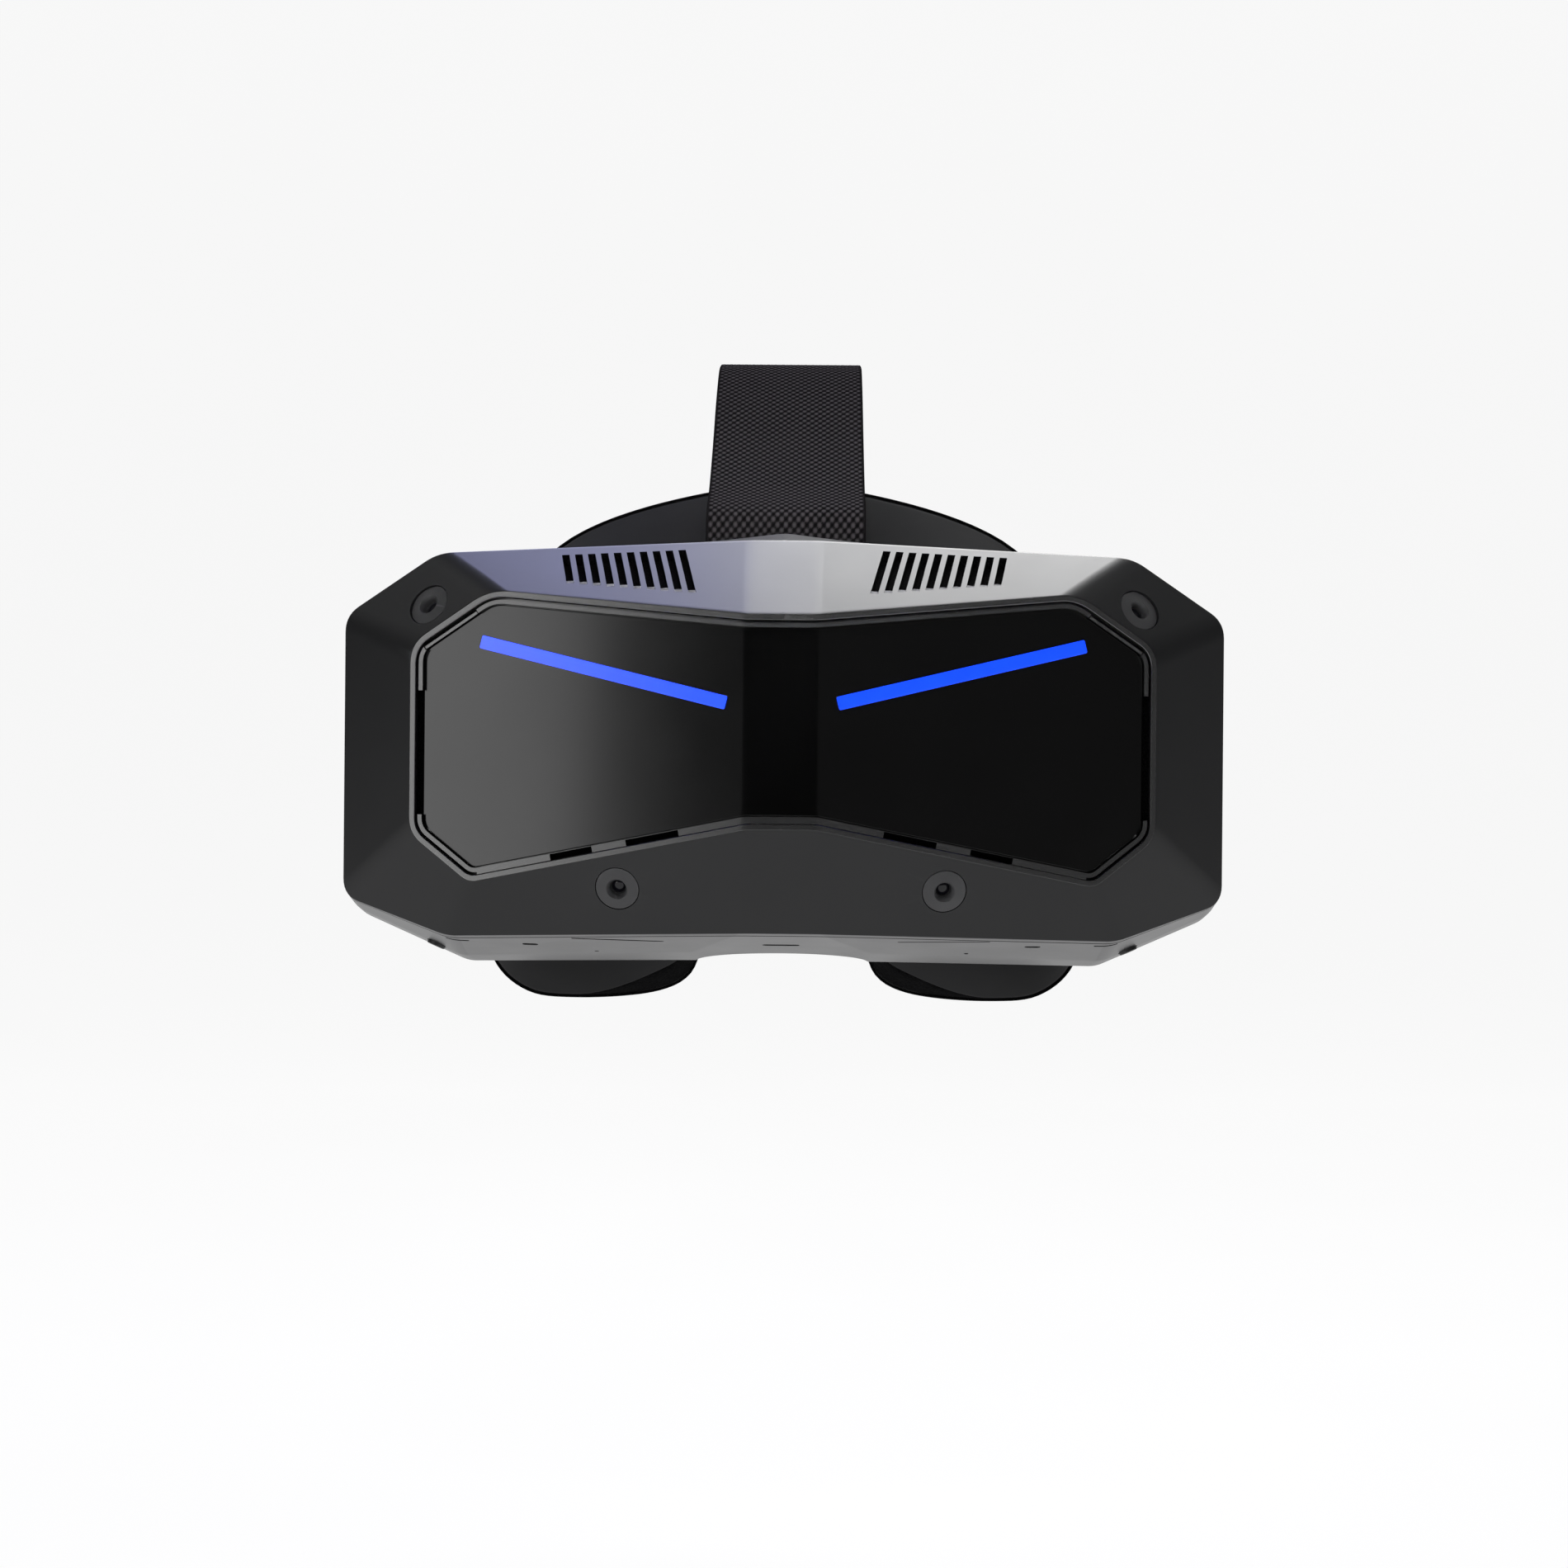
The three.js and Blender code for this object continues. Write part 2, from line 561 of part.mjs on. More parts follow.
// A hub with flat blades, bored for the axle stub.
function fanRotor() {
  let rotor = cylinder(5, 2.2, 9, [0, 0, 0], [0, 0, 1], 20);
  for (let i = 0; i < FAN.blades; i++) {
    const blade = box([3, -0.5, 2.4], [11.6, 0.5, 8.8]).rotate([0, 0, (i * 360) / FAN.blades]);
    rotor = rotor.add(blade);
  }
  return rotor.subtract(cylinder(1.4, 0, 6.6, [0, 0, 0], [0, 0, 1], 16)).translate([FAN.x, FAN.y, FAN.z]);
}
addPair("fan_housing", fanHousing(), INK, 0.5);
addPair("fan_rotor", fanRotor(), BLACK, 0.5);

// ---- Cameras, button, sensor and socket ----

for (const [name, camera] of Object.entries(CAMERAS)) {
  const bezel = turned([
    [BEZEL.hole, -BEZEL.depth], [BEZEL.r, -BEZEL.depth], [BEZEL.r, BEZEL.proud],
    [BEZEL.r - 0.8, BEZEL.proud], [BEZEL.hole, -1.6], [BEZEL.hole, -BEZEL.depth],
  ], camera.at, camera.normal, 28);
  addPair("camera_bezel_" + name, bezel, INK, 0.4);
  const module = cylinder(4.6, -9, -BEZEL.depth - GAP, camera.at, camera.normal, 20)
    .add(cylinder(BEZEL.hole - GAP, -6, -2, camera.at, camera.normal, 20));
  addPair("camera_module_" + name, module, BLACK, 0.05);
}

// A button's cap and stem: the stem's flange keeps it in its hole.
function button() {
  const cap = cylinder(BUTTON.r, -5.2, 0.7, BUTTON.at, BUTTON.normal, 20);
  return cap.add(cylinder(BUTTON.r + 1.2, -5.2, -4.2, BUTTON.at, BUTTON.normal, 20));
}
add("power_button", mirror(button()), INK, 0.4);
add("volume_button", button(), INK, 0.4);

add("proximity_sensor", box([-7, COVER_Y[1] + GAP - 0.1, 35], [7, -43.6, 40]), BLACK, 0.1);

function cableSocket() {
  const { halfX, halfZ, r, x, z } = SOCKET;
  const body = prism(roundedRect(halfX, halfZ, r, x, z), "y", -58, -44.6);
  const pocket = prism(roundedRect(4.7, 2.4, 2, x, z), "y", -52, -40);
  return body.subtract(pocket);
}
add("cable_socket", cableSocket(), METAL, 0.35, 0.8);

// ---- Face gasket ----

const gasketFront = smoothLoop(GASKET_FRONT.map(([x, z]) => [x, BACK_Y + 1, z]));
const gasketFrontInner = smoothLoop(GASKET_FRONT_INNER.map(([x, z]) => [x, BACK_Y + 1, z]));
const gasketBack = smoothLoop(GASKET_BACK);
const gasketBackInner = smoothLoop(GASKET_BACK_INNER);

const frameMiddle = mixLoops(gasketBack, gasketBackInner, 0.16);
const frameFrontInner = mixLoops(gasketFront, gasketFrontInner, 0.42);
add("gasket_frame", loft([gasketFront, gasketBack, frameMiddle, frameFrontInner], true), INK, 0.4);

const foamFront = shift(mixLoops(gasketBack, gasketBackInner, 0.03), GAP + 0.1);
const foamFrontInner = shift(gasketBackInner, GAP + 0.1);
const foamBack = shift(mixLoops(gasketBack, gasketBackInner, 0.25), FOAM_DEPTH);
const foamBackInner = shift(mixLoops(gasketBack, gasketBackInner, 0.9), FOAM_DEPTH - 3);
const foamEdge = shift(mixLoops(gasketBack, gasketBackInner, -0.05), FOAM_DEPTH * 0.6);
const foam = loft([foamFront, foamEdge, foamBack, foamBackInner, foamFrontInner], true);
add("face_foam", foam, BLACK, 0.95);

// ---- Head strap ----

function strapAnchor() {
  const block = prism(roundedRect(31, 3.6, 2, 0, 64), "y", COVER_Y[1] + GAP, -40.4);
  const slot = box([-STRAP.width / 2 - GAP, -44.3, 50], [STRAP.width / 2 + GAP, -41.5, 80]);
  return block.subtract(slot);
}
add("strap_anchor", strapAnchor(), INK, 0.5);
add("top_strap_front", strapBand(STRAP_FRONT, STRAP.width, STRAP.thickness), FABRIC, 0.9);
add("top_strap_rear", strapBand(STRAP_REAR, STRAP.width, STRAP.thickness), FABRIC, 0.9);

// Brackets, pins and arms at the sides.
const EYE_HALF = ARM_T / 2;
function armBracket() {
  let body = box([PIVOT.x - 9, COVER_Y[1] + GAP, PIVOT.z - 12], [PIVOT.x + 9, -43.2, PIVOT.z + 12]);
  for (const side of [-1, 1]) {
    const [x0, x1] = [PIVOT.x + side * (EYE_HALF + GAP), PIVOT.x + side * (EYE_HALF + GAP + 3)];
    const [low, high] = [Math.min(x0, x1), Math.max(x0, x1)];
    const ear = cylinder(PIVOT.eyeR, low, high, [0, PIVOT.y, PIVOT.z], [1, 0, 0])
      .add(box([low, -43.6, PIVOT.z - 8], [high, PIVOT.y, PIVOT.z + 8]));
    body = body.add(ear);
  }
  return body.subtract(cylinder(PIVOT.pinR + GAP, 100, 150, [0, PIVOT.y, PIVOT.z], [1, 0, 0]));
}
addPair("arm_bracket", armBracket(), INK, 0.45);
const pinHalf = EYE_HALF + 4.2;
const pinEnds = [PIVOT.x - pinHalf, PIVOT.x + pinHalf];
const pin = cylinder(PIVOT.pinR, ...pinEnds, [0, PIVOT.y, PIVOT.z], [1, 0, 0], 20);
addPair("arm_pin", pin, METAL, 0.3, 1);

// An arm with an eye on the pin in front, and a pocket for the cradle's slider behind.
function arm() {
  const pivot = [0, PIVOT.y, PIVOT.z];
  const eye = cylinder(PIVOT.eyeR, PIVOT.x - EYE_HALF, PIVOT.x + EYE_HALF, pivot, [1, 0, 0]);
  const neck = box([PIVOT.x - EYE_HALF, PIVOT.y, PIVOT.z - 7], [PIVOT.x + EYE_HALF, -19.5, PIVOT.z + 7]);
  const hole = cylinder(PIVOT.pinR + GAP, 100, 150, [0, PIVOT.y, PIVOT.z], [1, 0, 0]);
  const [low, high] = [ARM_Z - POCKET.halfZ, ARM_Z + POCKET.halfZ];
  const pocket = box([ARM_BACK_X - POCKET.halfX, POCKET.from, low], [ARM_BACK_X + POCKET.halfX, 140, high]);
  return uprightBand(ARM, ARM_T, ARM_Z).add(eye).add(neck).subtract(hole).subtract(pocket);
}
addPair("arm", arm(), INK, 0.45);

// Loudspeaker pods hang just under the arms, beside the ears.
const pod = prism(roundedRect(POD.halfY, POD.halfZ, POD.r, POD.y, POD.z), "x", POD.x0, POD.x1);
addPair("speaker", pod.subtract(box([80, 40, ARM_Z - 13 - GAP], [120, 140, 20])), INK, 0.5);

// The cradle's sliders run in the arms' pockets.
const slider = box(
  [ARM_BACK_X - SLIDER_T, POCKET.from + 3, ARM_Z - 8],
  [ARM_BACK_X + SLIDER_T, 133.4, ARM_Z + 8],
);
addPair("rack", slider, METAL, 0.5);

const cradlePath = [...CRADLE, ...CRADLE.slice(0, -1).reverse().map(([x, y, h]) => [-x, y, h])];
function cradle() {
  const slot = box([-STRAP.width / 2 - GAP, 202.7, 24], [STRAP.width / 2 + GAP, 205.3, 60]);
  return uprightBand(cradlePath, CRADLE_T, 0).subtract(slot);
}
add("rear_cradle", cradle(), INK, 0.45);
const padPath = cradlePath.slice(2, -2).map(([x, y, h]) => [x * 0.88, y - 9.5, h - 8]);
add("cradle_pad", uprightBand(padPath, 8, 0, 3), BLACK, 0.95);

// A knob with a groove at every fourth step round it.
function fitDial() {
  const outline = [];
  for (let i = 0; i < DIAL.steps; i++) {
    const angle = (i * 2 * Math.PI) / DIAL.steps;
    const r = DIAL.r - (i % 4 === 0 ? DIAL.groove : 0);
    outline.push([r * Math.cos(angle), DIAL.z + r * Math.sin(angle)]);
  }
  return prism(outline, "y", DIAL.y, DIAL.y + DIAL.depth);
}
add("fit_dial", fitDial(), BLACK, 0.6);

export default headset;
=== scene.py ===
"""The looks of a head-mounted display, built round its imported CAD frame, for Blender 4.5.

Lengths are millimetres, as in the CAD model, where nothing else is said, and MM turns them into
metres. +X is the wearer's left, -Y is the front and +Z is up.
"""
import math

import bmesh
import bpy
import numpy as np
from mathutils import Matrix, Vector


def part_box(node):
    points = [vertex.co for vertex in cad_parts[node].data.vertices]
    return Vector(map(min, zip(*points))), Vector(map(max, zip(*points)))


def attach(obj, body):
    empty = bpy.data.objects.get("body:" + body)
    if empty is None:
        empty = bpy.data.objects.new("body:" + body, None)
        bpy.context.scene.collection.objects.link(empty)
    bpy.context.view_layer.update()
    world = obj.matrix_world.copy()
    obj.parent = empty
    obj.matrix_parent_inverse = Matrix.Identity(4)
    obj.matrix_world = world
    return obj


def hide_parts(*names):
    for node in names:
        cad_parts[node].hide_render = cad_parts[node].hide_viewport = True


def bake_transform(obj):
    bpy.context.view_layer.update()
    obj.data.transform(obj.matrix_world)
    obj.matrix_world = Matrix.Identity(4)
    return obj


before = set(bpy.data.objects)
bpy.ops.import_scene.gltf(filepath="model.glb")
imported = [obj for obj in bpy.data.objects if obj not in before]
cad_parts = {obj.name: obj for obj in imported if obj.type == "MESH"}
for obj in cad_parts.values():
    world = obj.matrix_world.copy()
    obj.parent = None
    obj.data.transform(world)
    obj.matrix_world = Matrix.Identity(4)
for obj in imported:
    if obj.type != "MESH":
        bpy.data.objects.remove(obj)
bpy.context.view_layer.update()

MM = 0.001
# The clearance between neighbouring pieces.
GAP = 0.3

# ---- Driving dimensions ----
WALL = 2.4
FRONT_Y = -113.0
FOLD_X = 10.6
SWEEP = 0.249
BACK_Y = -46.0
RECESS = 2.6
PLATE = 2.0
LIP_INSET = 1.8
PLATE_INSET = 4.2
OPENING_INSET = 6.6

# Half outlines, from the top middle round the +X side to the bottom middle: LIP holds (x, z).
LIP = [
    (0, 41.4), (FOLD_X, 41.4), (91, 49.5), (116.5, 32.7),
    (116.5, -26.3), (97.2, -41.4), (FOLD_X, -24), (0, -24),
]
RIM = [
    (0, -73, 67.3), (FOLD_X, -73, 67.3), (110, -73, 62.5), (140, -69, 42.6),
    (140, -69, -46.8), (104.8, -84, -58.5), (FOLD_X, -101, -56.1), (0, -101, -56.1),
]
RIDGE = [
    (0, -56, 71), (23, -56, 68.2), (110, -56, 62.3), (140, -56, 42.2),
    (140, -56, -50), (103.2, -58, -66.2), (22, -64, -64), (0, -64, -64),
]
BACK = [
    (0, BACK_Y, 70.4), (23, BACK_Y, 67.7), (110, BACK_Y, 62), (139.5, BACK_Y, 42),
    (139.5, BACK_Y, -52.3), (102.2, BACK_Y, -68.8), (28.6, BACK_Y, -68), (0, BACK_Y, -68),
]
# Vent slots on the +X side, seen from above: each is a little shorter than the one before it.
VENT = {
    "count": 10, "width": 2.35, "first_x": 27.9, "pitch": 4.08, "lean": 0.19,
    "front_y": -100.4, "back_y": -77.0, "stagger": 0.94,
}
BUTTON_AT = Vector((111.5, -58, -62.6))
BUTTON_NORMAL = Vector((16.2, -5, -37.3)).normalized()
STRIP = {"in_x": 17.0, "in_z": 14.5, "out_x": 94.0, "out_z": 33.5, "width": 4.2}

# ---- Camera, in metres ----
LENS, SENSOR = 62.65895, 36.0
CAMERA_AT = Vector((0.010, -0.938, -0.010))
CAMERA_AIM = Vector((0.0009, FRONT_Y * MM, -0.010))
CAMERA_ROLL = math.radians(0.5)


def set_camera():
    data = bpy.data.cameras.new("camera")
    data.sensor_width = SENSOR
    data.lens = LENS
    data.clip_start = 0.05
    data.clip_end = 50
    camera = bpy.data.objects.new("camera", data)
    bpy.context.scene.collection.objects.link(camera)
    look = (CAMERA_AIM - CAMERA_AT).to_track_quat("-Z", "Y").to_matrix().to_4x4()
    camera.matrix_world = Matrix.Translation(CAMERA_AT) @ look @ Matrix.Rotation(CAMERA_ROLL, 4, "Z")
    bpy.context.scene.camera = camera


set_camera()


# ---- Node helpers for materials ----
class Shader:
    """A material with one Principled shader, and short ways to wire textures into it."""

    def __init__(self, name, color, roughness, specular=0.5, coat=0.0, metallic=0.0):
        self.material = bpy.data.materials.new(name)
        self.material.use_nodes = True
        self.tree = self.material.node_tree
        self.shader = self.tree.nodes["Principled BSDF"]
        self.set("Base Color", (*color, 1.0))
        self.set("Roughness", roughness)
        self.set("Specular IOR Level", specular)
        self.set("Coat Weight", coat)
        self.set("Metallic", metallic)
        self.coords = self.node("ShaderNodeTexCoord").outputs["Object"]
        self.height = None

    def set(self, socket, value):
        self.shader.inputs[socket].default_value = value

    def node(self, kind, **values):
        made = self.tree.nodes.new(kind)
        for key, value in values.items():
            if hasattr(made, key):
                setattr(made, key, value)
            else:
                made.inputs[key.replace("_", " ").title()].default_value = value
        return made

    def link(self, a, b):
        self.tree.links.new(a, b)

    def noise(self, scale, detail=4.0, stretch=(1, 1, 1)):
        mapping = self.node("ShaderNodeMapping", scale=stretch)
        texture = self.node("ShaderNodeTexNoise", scale=scale, detail=detail)
        self.link(self.coords, mapping.inputs["Vector"])
        self.link(mapping.outputs["Vector"], texture.inputs["Vector"])
        return texture.outputs["Fac"]

    def cells(self, scale):
        texture = self.node("ShaderNodeTexVoronoi", scale=scale)
        self.link(self.coords, texture.inputs["Vector"])
        return texture.outputs["Distance"]

    def waves(self, scale, axis):
        texture = self.node("ShaderNodeTexWave", bands_direction=axis, scale=scale)
        self.link(self.coords, texture.inputs["Vector"])
        return texture.outputs["Fac"]

    def spread(self, value, low, high, at=(0.35, 0.65)):
        ranged = self.node("ShaderNodeMapRange")
        for socket, number in zip(("From Min", "From Max", "To Min", "To Max"), (*at, low, high)):
            ranged.inputs[socket].default_value = number
        self.link(value, ranged.inputs["Value"])
        return ranged.outputs["Result"]

    def vary_color(self, value, low, high, at=(0.35, 0.65)):
        ramp = self.node("ShaderNodeValToRGB")
        for element, position, color in zip(ramp.color_ramp.elements, at, (low, high)):
            element.position = position
            element.color = (*color, 1)
        self.link(value, ramp.inputs["Fac"])
        self.link(ramp.outputs["Color"], self.shader.inputs["Base Color"])
        return ramp

    def vary_roughness(self, value, low, high, at=(0.35, 0.65)):
        self.link(self.spread(value, low, high, at), self.shader.inputs["Roughness"])

    def bump(self, value, strength, distance):
        made = self.node("ShaderNodeBump", strength=strength, distance=distance)
        self.link(value, made.inputs["Height"])
        if self.height is not None:
            self.link(self.height, made.inputs["Normal"])
        self.height = made.outputs["Normal"]
        self.link(self.height, self.shader.inputs["Normal"])

    def wear(self, high, at):
        """Turns the varied base colour towards high along convex edges, with broken borders."""
        pointiness = self.node("ShaderNodeNewGeometry").outputs["Pointiness"]
        broken = self.node("ShaderNodeMath", operation="MULTIPLY")
        self.link(self.spread(pointiness, 0.0, 1.0, at), broken.inputs[0])
        self.link(self.spread(self.noise(420, 6), 0.25, 1.0), broken.inputs[1])
        mix = self.node("ShaderNodeMix", data_type="RGBA")
        factor, color_a, color_b = mix.inputs[0], mix.inputs[6], mix.inputs[7]
        base = self.shader.inputs["Base Color"]
        self.link(base.links[0].from_socket, color_a)
        color_b.default_value = (*high, 1)
        self.link(broken.outputs[0], factor)
        self.link(mix.outputs[2], base)


# ---- Materials ----
def shell_paint():
    s = Shader("shell_paint", (0.014, 0.014, 0.015), 0.33, specular=0.33)
    s.vary_color(s.noise(9, 5), (0.0125, 0.0125, 0.0135), (0.0165, 0.0165, 0.0175))
    s.vary_roughness(s.noise(60, 6), 0.315, 0.35, (0.25, 0.75))
    s.bump(s.noise(2600, 2), 0.10, 0.00004)
    s.bump(s.noise(260, 3), 0.05, 0.0001)
    s.wear((0.045, 0.045, 0.048), (0.56, 0.66))
    return s.material


def moulded(name, color, roughness=0.48, grain=1500, relief=0.16, shine=0.5, coat=0.0):
    """Moulded plastic with a fine spark-eroded texture and slightly polished edges."""
    s = Shader(name, color, roughness, shine, coat)
    s.set("Coat Roughness", 0.2)
    s.vary_color(s.noise(22, 5), color, tuple(c * 1.35 for c in color))
    s.vary_roughness(s.noise(90, 5), roughness * 0.94, roughness * 1.08, (0.25, 0.75))
    s.bump(s.noise(grain, 3), relief, 0.00008)
    s.wear(tuple(c * 2.6 + 0.01 for c in color), (0.56, 0.68))
    return s.material


def gloss_black():
    s = Shader("faceplate_gloss", (0.0008, 0.0008, 0.0009), 0.165, coat=0.25)
    s.set("Coat Roughness", 0.10)
    s.vary_color(s.noise(14, 6), (0.0007, 0.0007, 0.0008), (0.0011, 0.0011, 0.0012))
    s.vary_roughness(s.noise(30, 8), 0.155, 0.18)
    s.bump(s.noise(3200, 2), 0.015, 0.00003)
    return s.material


# The blue strip is paint under the faceplate's gloss, not a lamp: its emission is a painted glow.
def blue_painted_glow():
    s = Shader("strip_blue_painted_glow", (0.003, 0.055, 1.0), 0.24, specular=1.0)
    # Painted glow: emission on a painted stripe.
    s.set("Emission Color", (0.0015, 0.06, 1.0, 1.0))
    s.set("Emission Strength", 0.62)
    s.vary_color(s.noise(120, 3), (0.003, 0.05, 0.95), (0.004, 0.062, 1.0))
    s.bump(s.noise(1800, 2), 0.04, 0.00004)
    return s.material


def knit(name, color, scale=1150):
    """Fine knitted cloth."""
    s = Shader(name, color, 0.92, specular=0.02)
    s.vary_color(s.cells(scale), tuple(c * 1.9 for c in color), color, (0.1, 0.75))
    s.vary_roughness(s.noise(70, 4), 0.86, 0.97)
    s.bump(s.cells(scale), 0.5, 0.0003)
    s.bump(s.noise(90, 4), 0.25, 0.0006)
    return s.material


def webbing():
    """Woven webbing: the yarns' relief is in the mesh, and their height also colours them as painted light:
    painted shade in the hollows between yarns and a painted highlight on their crowns.
    """
    s = Shader("webbing_weave", (0.012, 0.011, 0.012), 0.86, specular=0.0)
    painted_weave_light = s.node("ShaderNodeAttribute", attribute_name="painted_weave_light").outputs["Fac"]
    # Painted shade and highlight: nearly black between the yarns, light on their crowns.
    ramp = s.vary_color(painted_weave_light, (0.0016, 0.0014, 0.0017), (0.062, 0.0575, 0.062), (0.25, 0.98))
    middle = ramp.color_ramp.elements.new(0.62)
    middle.color = (0.0098, 0.0091, 0.0099, 1)
    s.vary_roughness(s.noise(300, 4), 0.74, 0.9)
    s.bump(s.noise(2200, 4, (1, 0.3, 0.3)), 0.5, 0.00012)
    return s.material


def metal(name, color, roughness, stretch, scale=700):
    s = Shader(name, color, roughness, metallic=1.0)
    s.vary_color(s.noise(40, 5), tuple(c * 0.85 for c in color), color)
    s.vary_roughness(s.noise(scale, 5, stretch), roughness - 0.08, roughness + 0.1)
    s.bump(s.noise(scale, 4, stretch), 0.12, 0.00005)
    return s.material


def circuit_board():
    s = Shader("circuit_board", (0.008, 0.055, 0.028), 0.36)
    s.vary_color(s.cells(240), (0.006, 0.04, 0.02), (0.014, 0.09, 0.045), (0.2, 0.5))
    s.bump(s.cells(240), 0.4, 0.0001)
    s.vary_roughness(s.noise(120, 4), 0.3, 0.5)
    return s.material


def dark_glass():
    s = Shader("dark_window", (0.003, 0.003, 0.005), 0.06, specular=0.3, coat=0.15)
    s.vary_roughness(s.noise(200, 5), 0.04, 0.09)
    s.vary_color(s.noise(300, 3), (0.003, 0.003, 0.005), (0.006, 0.005, 0.009))
    return s.material


def clear_lens():
    s = Shader("clear_lens", (0.86, 0.9, 0.95), 0.02, coat=0.3)
    s.set("Transmission Weight", 0.92)
    s.set("IOR", 1.49)
    s.set("Coat Tint", (0.75, 0.7, 1.0, 1.0))
    s.vary_roughness(s.noise(400, 4), 0.01, 0.035)
    s.bump(s.waves(30, "Z"), 0.01, 0.00002)
    return s.material


def soft_rubber():
    s = Shader("soft_rubber", (0.012, 0.012, 0.013), 0.62)
    s.vary_color(s.noise(60, 5), (0.010, 0.010, 0.011), (0.017, 0.017, 0.018))
    s.vary_roughness(s.noise(150, 5), 0.56, 0.7)
    s.bump(s.noise(1900, 4), 0.2, 0.00008)
    s.wear((0.05, 0.05, 0.052), (0.55, 0.66))
    return s.material


# Each look: its material, and the slot that its pieces fill.
LOOKS = {
    "shell": (shell_paint(), "shell"),
    "dark_trim": (moulded("dark_trim", (0.0135, 0.0135, 0.0145)), "dark_trim"),
    "seat_trim": (moulded("seat_trim", (0.018, 0.018, 0.019), 0.36, 2200, 0.08), "dark_trim"),
    "lip_trim": (moulded("lip_trim", (0.020, 0.020, 0.0205), 0.25, 2600, 0.03, 1.0, 0.55), "shell"),
    # Lighter than the other dark trim: a painted highlight standing in for the bezels' reflection.
    "bezel_trim_painted_highlight": (moulded("bezel_trim_painted_highlight", (0.046, 0.046, 0.048), 0.38, 2600, 0.04, 0.25), "dark_trim"),
    "gasket_trim": (moulded("gasket_trim", (0.0135, 0.0135, 0.014), 0.6, 1900, 0.06, 0.02), "dark_trim"),
    # Black knit for the dust mesh, also used as painted shade on the vent slots' walls and in the latch
    # slots.
    "dust_mesh_and_painted_shade": (knit("dust_mesh_and_painted_shade", (0.0012, 0.0012, 0.0013), 1700), "foam"),
    # Light grey on the shell's own plastic at the vent slots' ends: a painted highlight for the light on
    # their chamfers.
    "vent_lip_painted_highlight": (moulded("vent_lip_painted_highlight", (0.09, 0.09, 0.095), 0.5, 1900, 0.06, 0.1), "dark_trim"),
    "faceplate": (gloss_black(), "faceplate_gloss"),
    # The blue strip is paint; its emission is a painted glow, not a lamp.
    "light": (blue_painted_glow(), "light_strip"),
    "foam": (knit("foam_knit", (0.0028, 0.0028, 0.0030)), "foam"),
    "webbing": (webbing(), "webbing"),
    "steel": (metal("steel", (0.62, 0.63, 0.65), 0.28, (12, 1, 1)), "steel"),
    "chassis": (metal("cast_chassis", (0.36, 0.37, 0.39), 0.5, (1, 1, 1), 420), "cast_chassis"),
    "heat_sink": (metal("heat_sink", (0.66, 0.67, 0.7), 0.36, (1, 1, 14)), "heat_sink"),
    "board": (circuit_board(), "board"),
    "dark_glass": (dark_glass(), "dark_glass"),
    "lens": (clear_lens(), "lens_glass"),
    "rubber": (soft_rubber(), "dial_rubber"),
    "chip": (moulded("chip_black", (0.01, 0.01, 0.011), 0.55, 900, 0.1), "dark_trim"),
}


# ---- Mesh helpers ----
def linked(name, data):
    """A new object in the scene, from a mesh or a light."""
    made = bpy.data.objects.new(name, data)
    bpy.context.scene.collection.objects.link(made)
    return made


def new_object(name, vertices, faces):
    """An object from millimetre points."""
    mesh = bpy.data.meshes.new(name)
    mesh.from_pydata([tuple(c * MM for c in v) for v in vertices], [], faces)
    mesh.validate()
    return linked(name, mesh)


def apply_modifiers(obj):
    depsgraph = bpy.context.evaluated_depsgraph_get()
    mesh = bpy.data.meshes.new_from_object(obj.evaluated_get(depsgraph), depsgraph=depsgraph)
    obj.modifiers.clear()
    obj.data = mesh


def outward(obj):
    """Turns all faces to the outside."""
    bm = bmesh.new()
    bm.from_mesh(obj.data)
    bmesh.ops.recalc_face_normals(bm, faces=bm.faces)
    bm.to_mesh(obj.data)
    bm.free()
    return obj


def smooth_shaded(obj):
    for polygon in obj.data.polygons:
        polygon.use_smooth = True


def keep_flats(obj):
    """Keeps wide faces flat under smooth shading."""
    modifier = obj.modifiers.new("weighted_normals", "WEIGHTED_NORMAL")
    modifier.keep_sharp = True
    modifier.weight = 90


def shade(obj, angle, weighted):
    """Smooth shading with sharp edges over the angle."""
    obj.data.set_sharp_from_angle(angle=math.radians(angle))
    smooth_shaded(obj)
    if weighted:
        keep_flats(obj)


def finish_piece(obj, body, material, *nodes, angle=30, weighted=True):
    """Gives a made piece its material and body, and hides the CAD nodes that it stands for."""
    look, slot = LOOKS[material]
    if not obj.data.materials:
        obj.data.materials.append(look)
    shade(obj, angle, weighted)
    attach(obj, body)
    if nodes:
        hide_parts(*nodes)


def add_bevel(obj, width, segments, angle):
    modifier = obj.modifiers.new("bevel", "BEVEL")
    modifier.width = width * MM
    modifier.segments = segments
    modifier.limit_method = "ANGLE"
    modifier.angle_limit = math.radians(angle)


def dress(node, material, bevel):
    """Keeps a CAD node's shape, rounds its edges by a modifier and gives it a material."""
    look, slot = LOOKS[material]
    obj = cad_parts[node]
    obj.data.materials.clear()
    obj.data.materials.append(look)
    weld = obj.modifiers.new("weld", "WELD")
    weld.merge_threshold = 0.00002
    flat = obj.modifiers.new("flat", "DECIMATE")
    flat.decimate_type = "DISSOLVE"
    flat.angle_limit = math.radians(1.0)
    add_bevel(obj, bevel, 2, 28.0)
    smooth_shaded(obj)
    keep_flats(obj)


def cut(obj, *cutters):
    """Takes the cutters' shapes out of obj, and removes the cutters."""
    for cutter in cutters:
        outward(cutter)
        modifier = obj.modifiers.new("cut", "BOOLEAN")
        modifier.operation = "DIFFERENCE"
        modifier.object = cutter
        modifier.solver = "EXACT"
    apply_modifiers(obj)
    for cutter in cutters:
        bpy.data.objects.remove(cutter)
    return obj


